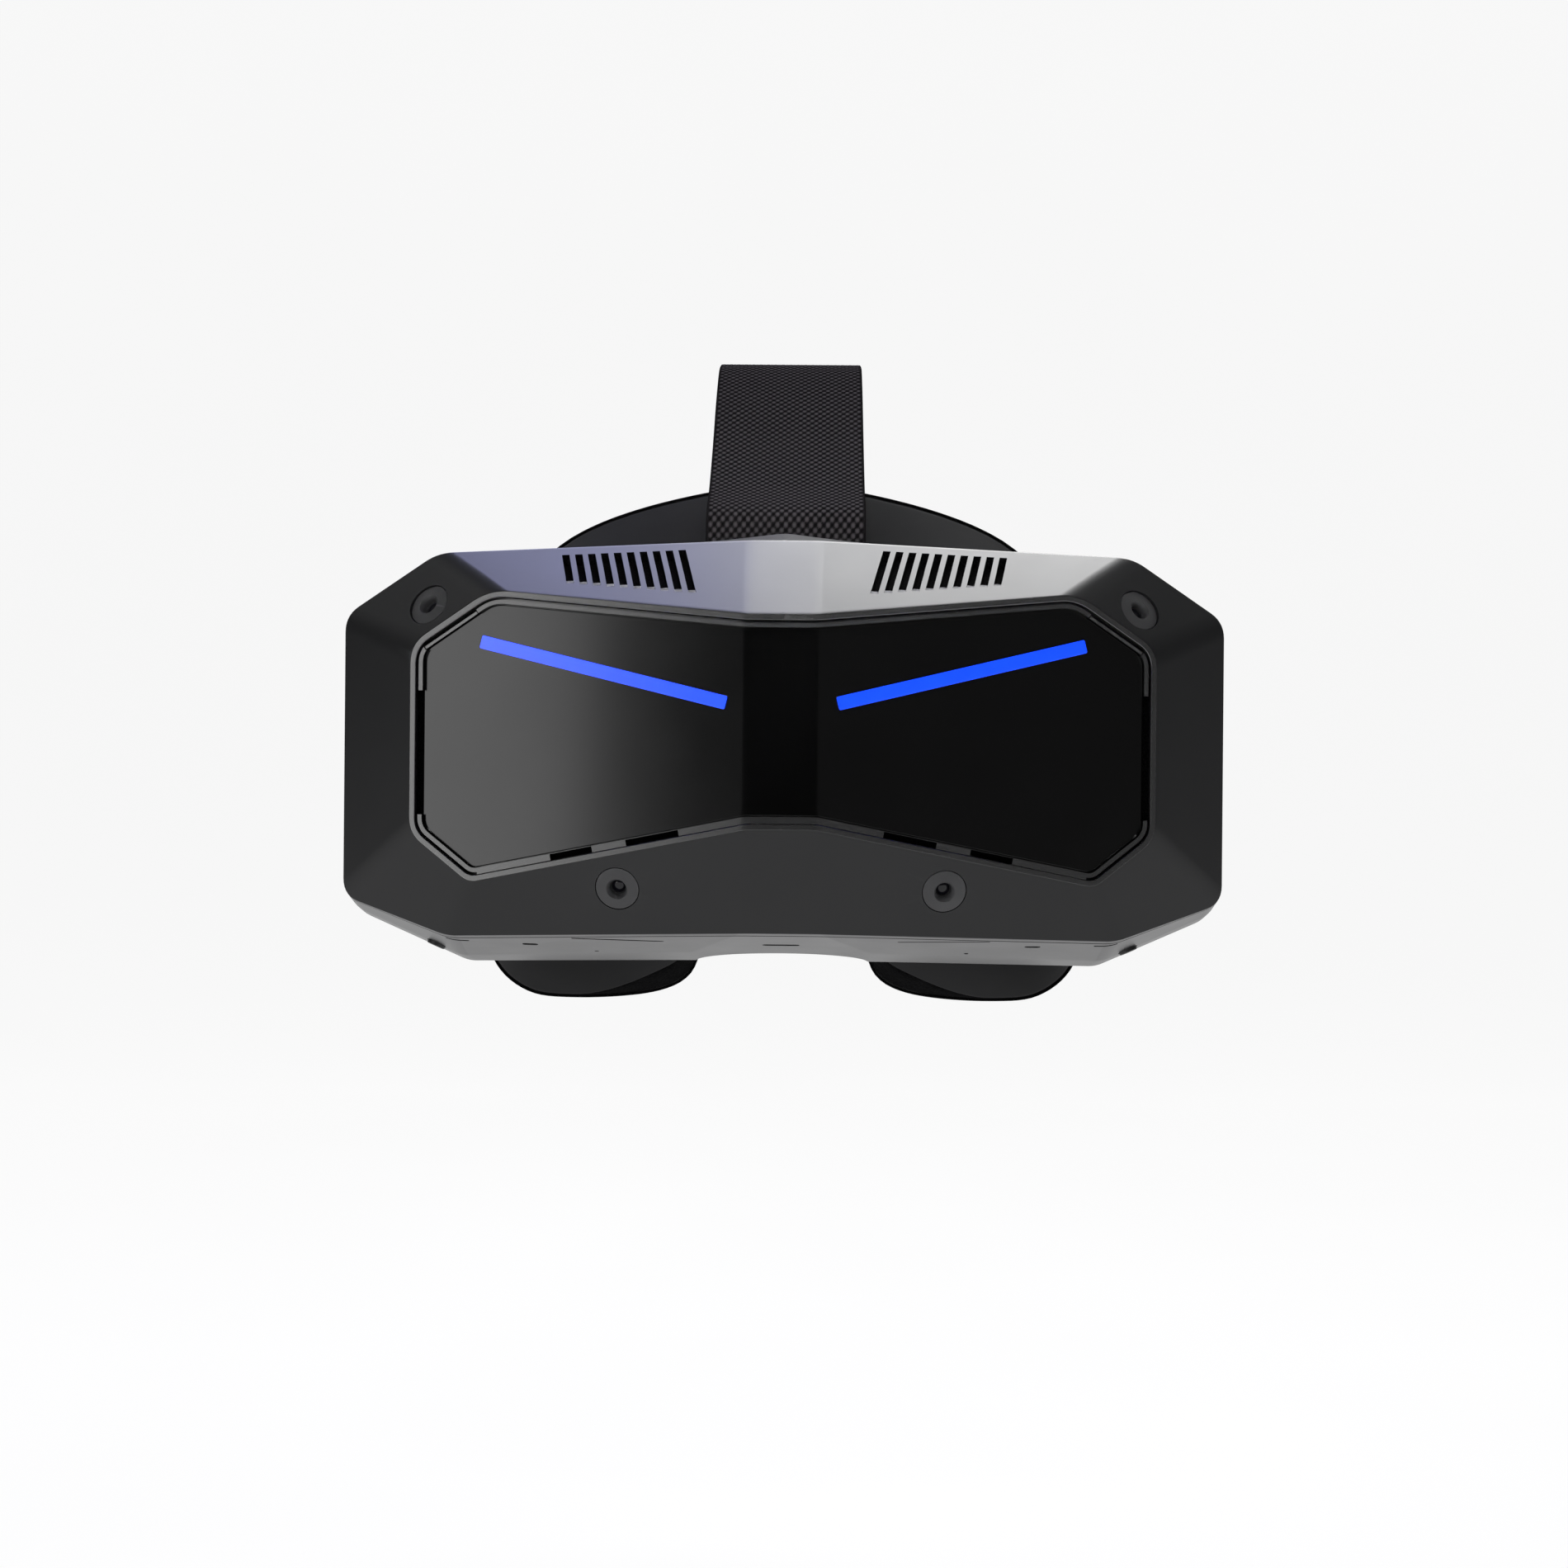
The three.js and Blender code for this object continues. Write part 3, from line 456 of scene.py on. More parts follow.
def join(name, objects):
    """One object from several, none of them moved from the origin."""
    bm = bmesh.new()
    for obj in objects:
        bm.from_mesh(obj.data)
        bpy.data.objects.remove(obj)
    mesh = bpy.data.meshes.new(name)
    bm.to_mesh(mesh)
    bm.free()
    return linked(name, mesh)


def flip(obj):
    """Mirrors a piece to the other side of the middle plane."""
    obj.data.transform(Matrix.Scale(-1, 4, (1, 0, 0)))
    obj.data.flip_normals()
    return obj


def on_side(made, cad_side):
    return flip(made) if cad_side == "right" else made


def both_sides(maker):
    """The piece on the +X side, and its mirror image."""
    first = maker()
    return [first, flip(linked("mirrored", first.data.copy()))]


def full_loop(half):
    """A whole loop from its half on the +X side, which starts and ends at the middle."""
    return list(half) + [(-x, y, z) for x, y, z in reversed(half[1:-1])]


def fold_y(x):
    """The front plane's depth at x: a flat middle, and sides swept back."""
    return FRONT_Y + SWEEP * max(abs(x) - FOLD_X, 0.0)


def inset(loop, distance, shift_y=0.0):
    """Moves each point of a full loop inwards in XZ, with mitred corners."""
    moved = []
    count = len(loop)
    for i, (x, y, z) in enumerate(loop):
        before = Vector((x - loop[i - 1][0], z - loop[i - 1][2])).normalized()
        following = loop[(i + 1) % count]
        after = Vector((following[0] - x, following[2] - z)).normalized()
        bisector = (before + after).normalized()
        reach = distance / max(bisector.dot(before), 0.35)
        moved.append((x + bisector.y * reach, y + shift_y, z - bisector.x * reach))
    return moved


def rounded(loop, radius, steps=8):
    """Rounds a loop's corners by curves that start radius along its edges: one radius or a list."""
    points = []
    count = len(loop)
    for i, (corner, size) in enumerate(zip(loop, np.broadcast_to(radius, count))):
        here = Vector(corner)
        ends = []
        for other in (Vector(loop[i - 1]), Vector(loop[(i + 1) % count])):
            along = other - here
            reach = min(float(size), 0.45 * along.length)
            ends.append(here + along.normalized() * reach)
        a, b = ends
        for k in range(steps):
            t = k / (steps - 1)
            points.append(tuple(a * (1 - t) ** 2 + here * 2 * t * (1 - t) + b * t * t))
    return points


def loft(name, loops, closed=False):
    """A skin over loops of equal length, in millimetres: a ring if closed, else with end caps."""
    count = len(loops[0])
    vertices = [p for loop in loops for p in loop]
    faces = []
    last = len(loops) if closed else len(loops) - 1
    for k in range(last):
        here, following = k * count, ((k + 1) % len(loops)) * count
        for i in range(count):
            j = (i + 1) % count
            faces.append((here + i, here + j, following + j, following + i))
    if not closed:
        faces.append(tuple(range(count)))
        faces.append(tuple(reversed(range((len(loops) - 1) * count, len(loops) * count))))
    return outward(new_object(name, vertices, faces))


def prism(name, outline, axis, low, high):
    """A straight solid in millimetres: outline holds the two other axes, in X, Y, Z order."""
    def place(a, b, c):
        return {"x": (c, a, b), "y": (a, c, b), "z": (a, b, c)}[axis]
    loops = [[place(a, b, level) for a, b in outline] for level in (low, high)]
    return loft(name, loops)


def rounded_rect(half_a, half_b, r, a=0.0, b=0.0, steps=6):
    """The outline of a rectangle with round corners, about the middle (a, b)."""
    points = []
    for sa, sb, start in ((1, 1, 0), (-1, 1, 90), (-1, -1, 180), (1, -1, 270)):
        centre_a, centre_b = a + sa * (half_a - r), b + sb * (half_b - r)
        for k in range(steps + 1):
            angle = math.radians(start + 90 * k / steps)
            points.append((centre_a + r * math.cos(angle), centre_b + r * math.sin(angle)))
    return points


def ellipse(radius_a, radius_b, a, b, sides):
    turns = [2 * math.pi * k / sides for k in range(sides)]
    return [(a + radius_a * math.cos(turn), b + radius_b * math.sin(turn)) for turn in turns]


def turned(name, profile, base, direction, sides=64):
    """A solid of revolution in millimetres: profile is (radius, height), from axis to axis."""
    rings = []
    for radius, height in profile:
        r = max(radius, 0.001)
        rings.append([(x, y, height) for x, y in ellipse(r, r, 0, 0, sides)])
    obj = loft(name, rings)
    turn = Vector(direction).to_track_quat("Z", "Y").to_matrix().to_4x4()
    obj.data.transform(Matrix.Translation(Vector(base) * MM) @ turn)
    return obj


def drill(radius, low, high, base, direction, sides=64):
    """A plain round cutter from low to high along the direction."""
    return turned("drill", [(0, low), (radius, low), (radius, high), (0, high)], base, direction, sides)


def bevel_sharp(obj, width, segments):
    add_bevel(obj, width, segments, 30.0)
    apply_modifiers(obj)


# ---- Visor shells ----
def mix_loops(a, b, t):
    return [tuple(p + (q - p) * t for p, q in zip(m, n)) for m, n in zip(a, b)]


def shift(loop, dy):
    return [(x, y + dy, z) for x, y, z in loop]


def on_fold(loop, dy):
    """The loop laid on the folded front plane, dy behind it."""
    return [(x, fold_y(x) + dy, z) for x, _, z in loop]


def corner_radii(*half):
    """Fillet sizes for a full loop, from those of its half outline."""
    return np.array(half + half[-2:0:-1])


def between(a, b, t):
    """Fillet sizes the share t of the way from a to b."""
    return a + (b - a) * t


def shell_skin(name, rows):
    """A closed skin through rows of (loop, fillet sizes)."""
    return loft(name, [rounded(loop, radii) for loop, radii in rows], closed=True)


LIP_ROUND = corner_radii(0.5, 1.6, 6.5, 6.0, 5.0, 3.0, 1.6, 0.5)
RIM_ROUND = corner_radii(0.5, 2.2, 5.0, 5.2, 5.6, 3.6, 2.5, 0.5)
RIDGE_ROUND = corner_radii(3.0, 8.0, 5.0, 5.2, 5.6, 2.5, 8.0, 0.5)


def on_facet(a, b, c, x, z):
    """The point of the facet through a, b and c at (x, z), and the facet's normal on the front side."""
    a, b, c = Vector(a), Vector(b), Vector(c)
    normal = (b - a).cross(c - a).normalized()
    if normal.y > 0:
        normal = -normal
    y = a.y - (normal.x * (x - a.x) + normal.z * (z - a.z)) / normal.y
    return Vector((x, y, z)), normal


def lip_point(i):
    return (LIP[i][0], fold_y(LIP[i][0]), LIP[i][1])


CAMERAS = {
    "upper": on_facet(lip_point(2), lip_point(3), RIM[2], 111.2, 45.2),
    "lower": on_facet(lip_point(5), lip_point(6), RIM[6], 50.3, -42.6),
}
BEZEL_R = 6.75
# Nothing but the vent slots' walls is upright inside these bounds.
VENTS_END_X, VENTS_FLOOR_Z = 70, 50
# The rows of the front shell's skin that make the lip's flat face.
LIP_FACE_ROWS = (1, 2, 3)


def slot_outline(i, grow=0.0, length=None):
    """The plan outline of one vent slot on the +X side, or of the first length of it."""
    front = VENT["front_y"] + i * VENT["stagger"]
    low = front - grow
    high = VENT["back_y"] + grow if length is None else front + length
    half = VENT["width"] / 2 + grow

    def middle(y):
        return VENT["first_x"] + i * VENT["pitch"] + VENT["lean"] * (y - VENT["front_y"])
    return [
        (middle(low) + half, low), (middle(high) + half, high),
        (middle(high) - half, high), (middle(low) - half, low),
    ]


def top_facet_z(x, y):
    """Height of the top facet's outer face over (x, y)."""
    any_z = 60
    point, normal = on_facet(lip_point(1), lip_point(2), RIM[1], x, any_z)
    return any_z - normal.y * (y - point.y) / normal.z


def front_shell():
    """The faceted front, with a plain lip round the opening, and the vent slots' walls in the black mesh
    material as painted shade.
    """
    lip, rim = full_loop([(x, fold_y(x), z) for x, z in LIP]), full_loop(RIM)
    rows = [
        (on_fold(inset(lip, LIP_INSET), 4.0), LIP_ROUND * 0.8),
        (on_fold(inset(lip, LIP_INSET), 0.25), LIP_ROUND * 0.8),
        (on_fold(inset(lip, LIP_INSET - 0.22), 0.02), LIP_ROUND * 0.82),
        (on_fold(inset(lip, 0.2), 0.0), LIP_ROUND),
        (on_fold(inset(lip, 0.06), 0.02), LIP_ROUND),
        (mix_loops(lip, rim, 0.008), LIP_ROUND),
        (mix_loops(lip, rim, 0.03), between(LIP_ROUND, RIM_ROUND, 0.03)),
        (mix_loops(lip, rim, 0.5), between(LIP_ROUND, RIM_ROUND, 0.5)),
        (mix_loops(lip, rim, 0.97), between(LIP_ROUND, RIM_ROUND, 0.97)),
        (mix_loops(lip, rim, 0.988), RIM_ROUND),
        (inset(rim, 0.12, -0.05), RIM_ROUND),
        (inset(rim, 0.4, 0.12), RIM_ROUND),
        (inset(rim, WALL, 2.0), RIM_ROUND * 0.8),
    ]
    shell = shell_skin("front_shell_body", rows)
    per_row = len(rounded(lip, 1.0))
    materials = ("shell", "lip_trim", "dust_mesh_and_painted_shade")
    for material in materials:
        shell.data.materials.append(LOOKS[material][0])
    for polygon in shell.data.polygons:
        if polygon.index // per_row in LIP_FACE_ROWS:
            polygon.material_index = materials.index("lip_trim")
    cutters = []
    for i in range(VENT["count"]):
        cutters += both_sides(lambda: prism("vent", slot_outline(i), "z", 30, 90))
    for spot, normal in CAMERAS.values():
        cutters += both_sides(lambda: drill(BEZEL_R + 0.25, -14, 8, spot, normal))
    cut(shell, join("cutters", cutters))
    # Painted shade: the vent slots' walls take the black mesh material, so that the slots look dark.
    for polygon in shell.data.polygons:
        x, y, z = polygon.center / MM
        beside = VENT["first_x"] - 4 < abs(x) < VENTS_END_X
        along = VENT["front_y"] - 1 < y < VENT["back_y"] + 1
        if beside and along and z > VENTS_FLOOR_Z and abs(polygon.normal.z) < 0.1:
            polygon.material_index = materials.index("dust_mesh_and_painted_shade")
    finish_piece(shell, "visor", "shell", "front_shell", angle=24)


def under_facet(name, outline, *levels):
    """A solid below the top facet: each level holds how far the outline's points lie below it."""
    loops = []
    for drops in levels:
        loops.append([(x, y, top_facet_z(x, y) - drop) for (x, y), drop in zip(outline, drops)])
    return loft(name, loops)


# How far the corners of a vent's lip lie below the facet.
VENT_LIP_DROPS = (0.30, 0.08, 0.08, 0.30)


def vent_lips():
    """A small sloped lip at the lower end of each vent slot, a little below the facet, in a light grey that
    is a painted highlight.
    """
    pieces = []
    for i in range(VENT["count"]):
        outline = slot_outline(i, 0.02, length=1.5)
        pieces += both_sides(lambda: under_facet("vent_lip_painted_highlight", outline, VENT_LIP_DROPS, [1.6] * 4))
    lips = join("vent_lips", pieces)
    finish_piece(lips, "visor", "vent_lip_painted_highlight", angle=35)


def vent_mesh():
    """A black dust mesh under the vent slots, on the inside of the top facets."""
    first, last = slot_outline(0, 1.2), slot_outline(VENT["count"] - 1, 1.2)
    outline = [last[0], last[1], first[2], first[3]]
    sheet = both_sides(lambda: under_facet("dust_mesh_and_painted_shade", outline, [WALL + 0.7] * 4, [WALL + 1.1] * 4))
    meshes = join("vent_dust_mesh", sheet)
    finish_piece(meshes, "visor", "dust_mesh_and_painted_shade", angle=35)


def rear_housing():
    """The shell behind the seam: a groove, a slope up to the ridge and a short turned-in back."""
    rim, ridge, back = full_loop(RIM), full_loop(RIDGE), full_loop(BACK)
    seam = inset(rim, 0.05, 0.5)
    rows = [
        (inset(rim, WALL + 0.05, 2.6), RIM_ROUND * 0.8),
        (inset(rim, 0.5, 0.62), RIM_ROUND),
        (inset(rim, 0.18, 0.5), RIM_ROUND),
        (mix_loops(seam, ridge, 0.02), RIM_ROUND),
        (mix_loops(seam, ridge, 0.10), RIM_ROUND),
        (inset(mix_loops(rim, ridge, 0.104), 0.55), RIM_ROUND),
        (inset(mix_loops(rim, ridge, 0.132), 0.55), RIM_ROUND),
        (mix_loops(seam, ridge, 0.136), RIM_ROUND),
        (mix_loops(rim, ridge, 0.94), between(RIM_ROUND, RIDGE_ROUND, 0.94)),
        (ridge, RIDGE_ROUND),
        (mix_loops(ridge, back, 0.1), RIDGE_ROUND),
        (mix_loops(ridge, back, 0.86), RIDGE_ROUND),
        (mix_loops(ridge, inset(back, 0.06), 0.94), RIDGE_ROUND),
        (inset(back, 0.28, -0.2), RIDGE_ROUND),
        (inset(back, 0.8, 0.0), RIDGE_ROUND),
        (inset(back, WALL - 0.2, 0.0), RIDGE_ROUND * 0.85),
        (inset(back, WALL, -0.3), RIDGE_ROUND * 0.85),
        (inset(ridge, WALL), RIDGE_ROUND * 0.8),
    ]
    shell = shell_skin("rear_housing_body", rows)
    cutters = [
        prism("notch", ellipse(28, 16.5, 0, BACK_Y, 96), "z", -95, -40),
        prism("centre_slot", rounded_rect(5.9, 1.25, 1.2, 0, -79), "z", -80, -40),
    ]
    for maker in (
        lambda: prism("long_slot", rounded_rect(14.5, 0.55, 0.5, 51, -85.5), "z", -80, -45),
        lambda: prism("short_slot", rounded_rect(2.5, 1.1, 1.0, 79.3, -76), "z", -80, -45),
        lambda: drill(0.75, -20, 20, (59, -66, -64), (0, 0, 1), 24),
        lambda: prism("corner_slot", rounded_rect(3.8, 0.6, 0.55, 102.2, -78), "z", -80, -45),
        lambda: drill(3.35, -8, 6, BUTTON_AT, BUTTON_NORMAL),
        lambda: drill(0.8, -8, 6, (139, -58, -44), (1, 0, -0.2), 24),
    ):
        cutters += both_sides(maker)
    cut(shell, join("cutters", cutters))
    finish_piece(shell, "visor", "shell", "rear_housing", angle=24)


# ---- Folded pieces: made flat, then laid on the visor's folded front ----
SOFTNESS = 1.6


def smooth_fold(x):
    """The same depth as fold_y, with each fold rounded over SOFTNESS on both sides of it."""
    reach = abs(x) - FOLD_X
    if reach <= -SOFTNESS:
        return FRONT_Y
    if reach >= SOFTNESS:
        return FRONT_Y + SWEEP * reach
    return FRONT_Y + SWEEP * (reach + SOFTNESS) ** 2 / (4 * SOFTNESS)


def fold(obj):
    """Cuts a flat piece across at the folds, and bends it back on both sides."""
    bm = bmesh.new()
    bm.from_mesh(obj.data)
    for side in (-1, 1):
        for step in np.linspace(-SOFTNESS, SOFTNESS, 7):
            x = side * (FOLD_X + step) * MM
            everything = bm.verts[:] + bm.edges[:] + bm.faces[:]
            bmesh.ops.bisect_plane(bm, geom=everything, plane_co=(x, 0, 0), plane_no=(1, 0, 0))
    for vertex in bm.verts:
        vertex.co.y += smooth_fold(vertex.co.x / MM) * MM
    bm.to_mesh(obj.data)
    bm.free()


def flat_outline(distance, roundness):
    """The lip's outline before folding, moved inwards, with its corner radii times roundness."""
    loop = inset(full_loop([(x, 0, z) for x, z in LIP]), distance)
    return [(x, z) for x, _, z in rounded(loop, LIP_ROUND * roundness)]


def faceplate():
    plate = prism("faceplate_body", flat_outline(PLATE_INSET, 0.55), "y", RECESS, RECESS + PLATE)
    bevel_sharp(plate, 0.35, 3)
    fold(plate)
    finish_piece(plate, "faceplate", "faceplate", "faceplate", angle=24)


# The blue strip shines by a painted glow in its material; it is no lamp.
def light_strip(cad_side):
    start = Vector((STRIP["in_x"], STRIP["in_z"]))
    end = Vector((STRIP["out_x"], STRIP["out_z"]))
    along = (end - start).normalized()
    side = Vector((-along.y, along.x)) * STRIP["width"] / 2
    corners = [start - side, end - side, end + side, start + side]
    outline = [(p[0], p[2]) for p in rounded([(c.x, 0, c.y) for c in corners], 0.6, 5)]
    cad_node = f"light_strip_{cad_side}"
    strip = prism(f"{cad_node}_body", outline, "y", RECESS - GAP - 0.45, RECESS - 0.02)
    bevel_sharp(strip, 0.14, 2)
    fold(strip)
    finish_piece(on_side(strip, cad_side), "faceplate", "light", cad_node, angle=24)


# Latch slots in the frame's ledge: (centre x, centre z, half length, half width, angle) on the +X side.
LATCHES = [
    (113.2, -1.1, 19.4, 2.2, 90.0),
    (64.7, -31.9, 6.7, 0.95, -11.4),
    (39.4, -26.85, 8.3, 0.95, -11.4),
    (103.6, 37.2, 10.2, 0.95, -33.4),
]


def latch_bar(latch, low, high, longer=0.0):
    """A bar that fills a latch slot in plan, from low to high behind the front plane."""
    x, z, half_length, b, angle = latch
    c, s = math.cos(math.radians(angle)), math.sin(math.radians(angle))
    a = half_length + longer
    corners = [(-a, -b), (a, -b), (a, b), (-a, b)]
    outline = [(x + c * p - s * q, z + s * p + c * q) for p, q in corners]
    return prism("latch_bar", outline, "y", low, high)


def faceplate_frame():
    """The ledge between the lip and the faceplate, with a floor behind the faceplate's edge."""
    floor_y = RECESS + PLATE
    frame_ring = prism("faceplate_frame_body", flat_outline(LIP_INSET + 0.08, 0.75), "y", 0.7, floor_y + 1.8)
    bevel_sharp(frame_ring, 0.1, 2)
    groove = prism("groove", flat_outline(1.4, 1.0), "y", -2, 5.2)
    island = prism("island", flat_outline(LIP_INSET + 0.85, 0.72), "y", -4, 9)
    lower_part = prism("lower_part", rounded_rect(94.5, 30, 0.5, 0, -45), "y", -4, 9)
    cut(groove, island, lower_part)
    seat = prism("seat", flat_outline(PLATE_INSET - 0.25, 0.58), "y", -2, floor_y + GAP)
    opening = prism("opening", flat_outline(OPENING_INSET, 0.4), "y", -2, 20)
    cutters = []
    for latch in LATCHES:
        cutters += both_sides(lambda: latch_bar(latch, -1.0, 12.0))
    cut(frame_ring, groove, seat, opening, join("latches", cutters))
    fold(frame_ring)
    finish_piece(frame_ring, "visor", "lip_trim", "faceplate_frame", angle=24)


def latch_bars():
    """A spring bar on the ledge of each upper corner chamfer."""
    corner = (103.5, 37.05, 9.9, 0.42, -33.4)
    bars = join("latch_bars", both_sides(lambda: latch_bar(corner, 1.3, 2.6)))
    fold(bars)
    finish_piece(bars, "visor", "lip_trim", angle=24)


def latch_backs():
    """Black sheets at the bottom of the latch slots, as painted shade in them."""
    pieces = []
    for latch in LATCHES:
        pieces += both_sides(lambda: latch_bar(latch, 3.4, 5.6, 0.02))
    backs = join("latch_backs", pieces)
    fold(backs)
    finish_piece(backs, "visor", "dust_mesh_and_painted_shade", angle=24)


# ---- Cameras ----
# Profiles (radius, height) of a camera, from the axis back to the axis.
BEZEL_PROFILE = [
    (0, -3.0), (BEZEL_R, -3.0), (BEZEL_R, -0.05), (BEZEL_R - 0.1, 0.05), (BEZEL_R - 0.3, 0.1),
    (3.5, 0.62), (3.34, 0.6), (3.14, 0.42), (2.8, -0.2), (2.64, -0.5), (2.55, -0.8), (2.5, -2.75), (0, -2.75),
]
GLASS_PROFILE = [
    (0, -2.72), (2.1, -2.72), (2.1, -2.5), (1.7, -2.2), (1.1, -2.02), (0.5, -1.95), (0, -1.93),
]
RING_PROFILE = [
    (0, -2.8), (2.48, -2.8), (2.48, -2.2), (2.3, -2.1), (2.15, -2.3), (2.1, -2.74), (0, -2.76),
]


def camera(place, cad_side):
    """The bezel, the glass and the ring round it, which has no CAD node of its own."""
    spot, normal = CAMERAS[place]
    for piece, profile, sides, material, nodes in (
        # The bezel's light grey is a painted highlight.
        ("cone", BEZEL_PROFILE, 96, "bezel_trim_painted_highlight", [f"camera_bezel_{place}_{cad_side}"]),
        ("glass", GLASS_PROFILE, 48, "dark_glass", [f"camera_module_{place}_{cad_side}"]),
        ("ring", RING_PROFILE, 48, "rubber", []),
    ):
        made = turned(f"camera_{piece}_{place}_{cad_side}", profile, spot, normal, sides)
        finish_piece(on_side(made, cad_side), "visor", material, *nodes)


front_shell()
vent_lips()
vent_mesh()
rear_housing()
faceplate()
light_strip("left")
light_strip("right")
faceplate_frame()
latch_bars()
latch_backs()
for place in CAMERAS:
    for cad_side in ("left", "right"):
        camera(place, cad_side)


# ---- Smooth curves ----
def smooth_curve(points, steps, closed=False):
    """A centripetal curve through the points: steps samples, evenly shared between them."""
    knots = [Vector(p) for p in points]
    if closed:
        knots = knots[-1:] + knots + knots[:2]
    else:
        knots = [knots[0] * 2 - knots[1]] + knots + [knots[-1] * 2 - knots[-2]]
    spans = len(knots) - 3
    made = []
    for k in range(steps):
        at = spans * k / (steps if closed else steps - 1)
        i = min(int(at), spans - 1)
        t = at - i
        p0, p1, p2, p3 = knots[i:i + 4]
        d0, d1, d2 = (max((b - a).length ** 0.5, 1e-4) for a, b in ((p0, p1), (p1, p2), (p2, p3)))
        slope1 = ((p1 - p0) / d0 - (p2 - p0) / (d0 + d1) + (p2 - p1) / d1) * d1
        slope2 = ((p2 - p1) / d1 - (p3 - p1) / (d1 + d2) + (p3 - p2) / d2) * d1
        cubic = (p1 - p2) * 2 + slope1 + slope2
        square = (p2 - p1) * 3 - slope1 * 2 - slope2
        made.append(p1 + slope1 * t + square * t * t + cubic * t ** 3)
    return made


def even_steps(curve, pitch=0.0, count=0):
    """The same curve in count even steps, or in even steps close to pitch."""
    lengths = [0.0]
    for a, b in zip(curve, curve[1:]):
        lengths.append(lengths[-1] + (b - a).length)
    steps = count or max(round(lengths[-1] / pitch), 2)
    places = np.linspace(0, lengths[-1], steps + 1)
    columns = [np.interp(places, lengths, [p[axis] for p in curve]) for axis in range(3)]
    return [Vector(row) for row in zip(*columns)]


def even_loop(loop, count):
    return even_steps([Vector(p) for p in loop + loop[:1]], count=count)[:-1]


# ---- Face gasket ----
def gasket_loop(half):
    return [tuple(p) for p in smooth_curve(full_loop(half), 260, closed=True)]


def at_housing(half):
    """A gasket loop against the back of the housing."""
    return gasket_loop([(x, BACK_Y + 1, z) for x, z in half])


GASKET_FRONT = at_housing([
    (0, 52), (26, 52), (70, 50), (98, 35), (106, 0), (102, -36), (92, -50), (80, -57), (66, -60),
    (46, -60), (36, -57), (27, -48), (14, -40), (0, -38),
])
GASKET_FRONT_INNER = at_housing([
    (0, 46), (24, 46), (66, 44), (88, 31), (95, 0), (91, -32), (84, -44), (75, -50), (65, -52),
    (52, -51), (43, -48), (33, -41), (17, -35), (0, -34),
])
GASKET_BACK = gasket_loop([
    (0, -16, 88.5), (27, -15, 87.4), (77, -7, 70), (101, 3, 36), (106, 7, 0), (104, 1, -42),
    (97.8, -8, -70.5), (86.5, -12, -80), (71, -14, -82), (41, -16, -79), (32, -17, -73.5),
    (26, -20, -58), (14, -22, -44), (0, -22, -39),
])
GASKET_BACK_INNER = gasket_loop([
    (0, -16, 71), (24, -15, 70), (66, -7, 56), (85, 3, 30), (90, 7, 0), (88, 1, -36),
    (84, -8, -56), (77, -12, -65), (67, -14, -68), (49, -16, -67), (42, -17, -62),
    (36, -20, -51), (20, -22, -37), (0, -22, -30),
])


def frame_edge(front, back):
    """The frame stops short of the foam's edge on the nose side of each cheek lobe."""
    made = []
    for p, q in zip(front, back):
        short = min(max((70 - abs(q[0])) / 38, 0.0), 1.0)
        short = short * short * (3 - 2 * short) * (0.34 if q[2] < -20 else 0.0)
        made.append(tuple(b + (a - b) * short for a, b in zip(p, q)))
    return made


GASKET_EDGE = frame_edge(GASKET_FRONT, GASKET_BACK)


def gasket_frame():
    """A thin funnel from the housing to the foam, a little bulged."""
    front, back = GASKET_FRONT, GASKET_EDGE
    inner_front = mix_loops(GASKET_FRONT, GASKET_FRONT_INNER, 0.42)
    inner_back = frame_edge(inner_front, mix_loops(GASKET_BACK, GASKET_BACK_INNER, 0.16))
    rows = [mix_loops(front, inner_front, 0.2), mix_loops(front, back, 0.01)]
    for t in (0.04, 0.2, 0.4, 0.6, 0.8, 0.94, 0.975):
        rows.append(inset(mix_loops(front, back, t), -1.1 * math.sin(math.pi * t)))
    rows += [
        inset(mix_loops(front, back, 0.992), 0.12),
        mix_loops(back, inner_back, 0.14),
        mix_loops(back, inner_back, 0.9),
        shift(inner_back, -0.5),
        mix_loops(inner_back, inner_front, 0.5),
        mix_loops(inner_back, inner_front, 0.96),
        mix_loops(inner_front, front, 0.1),
    ]
    ring = loft("gasket_frame_body", rows, closed=True)
    finish_piece(ring, "face_gasket", "gasket_trim", "gasket_frame", angle=50)


# The foam ring's section: (share of the way from the outer edge to the inner one, depth).
FOAM_SECTION = [
    (-0.045, 4.0), (-0.055, 7.0), (-0.045, 10.0), (0.0, 12.6), (0.09, 14.5), (0.22, 15.4), (0.4, 15.6),
    (0.58, 15.3), (0.74, 14.4), (0.87, 12.8), (0.95, 10.4), (0.985, 7.4), (1.0, 4.0), (1.0, 0.5),
]


def foam_row(share, depth):
    return shift(mix_loops(GASKET_BACK, GASKET_BACK_INNER, share), depth)


CLOTH = {
    "quality": 6, "mass": 0.2, "tension_stiffness": 12, "compression_stiffness": 12,
    "shear_stiffness": 6, "bending_stiffness": 0.4, "use_pressure": True,
}
CLOTH_FRAMES = 20


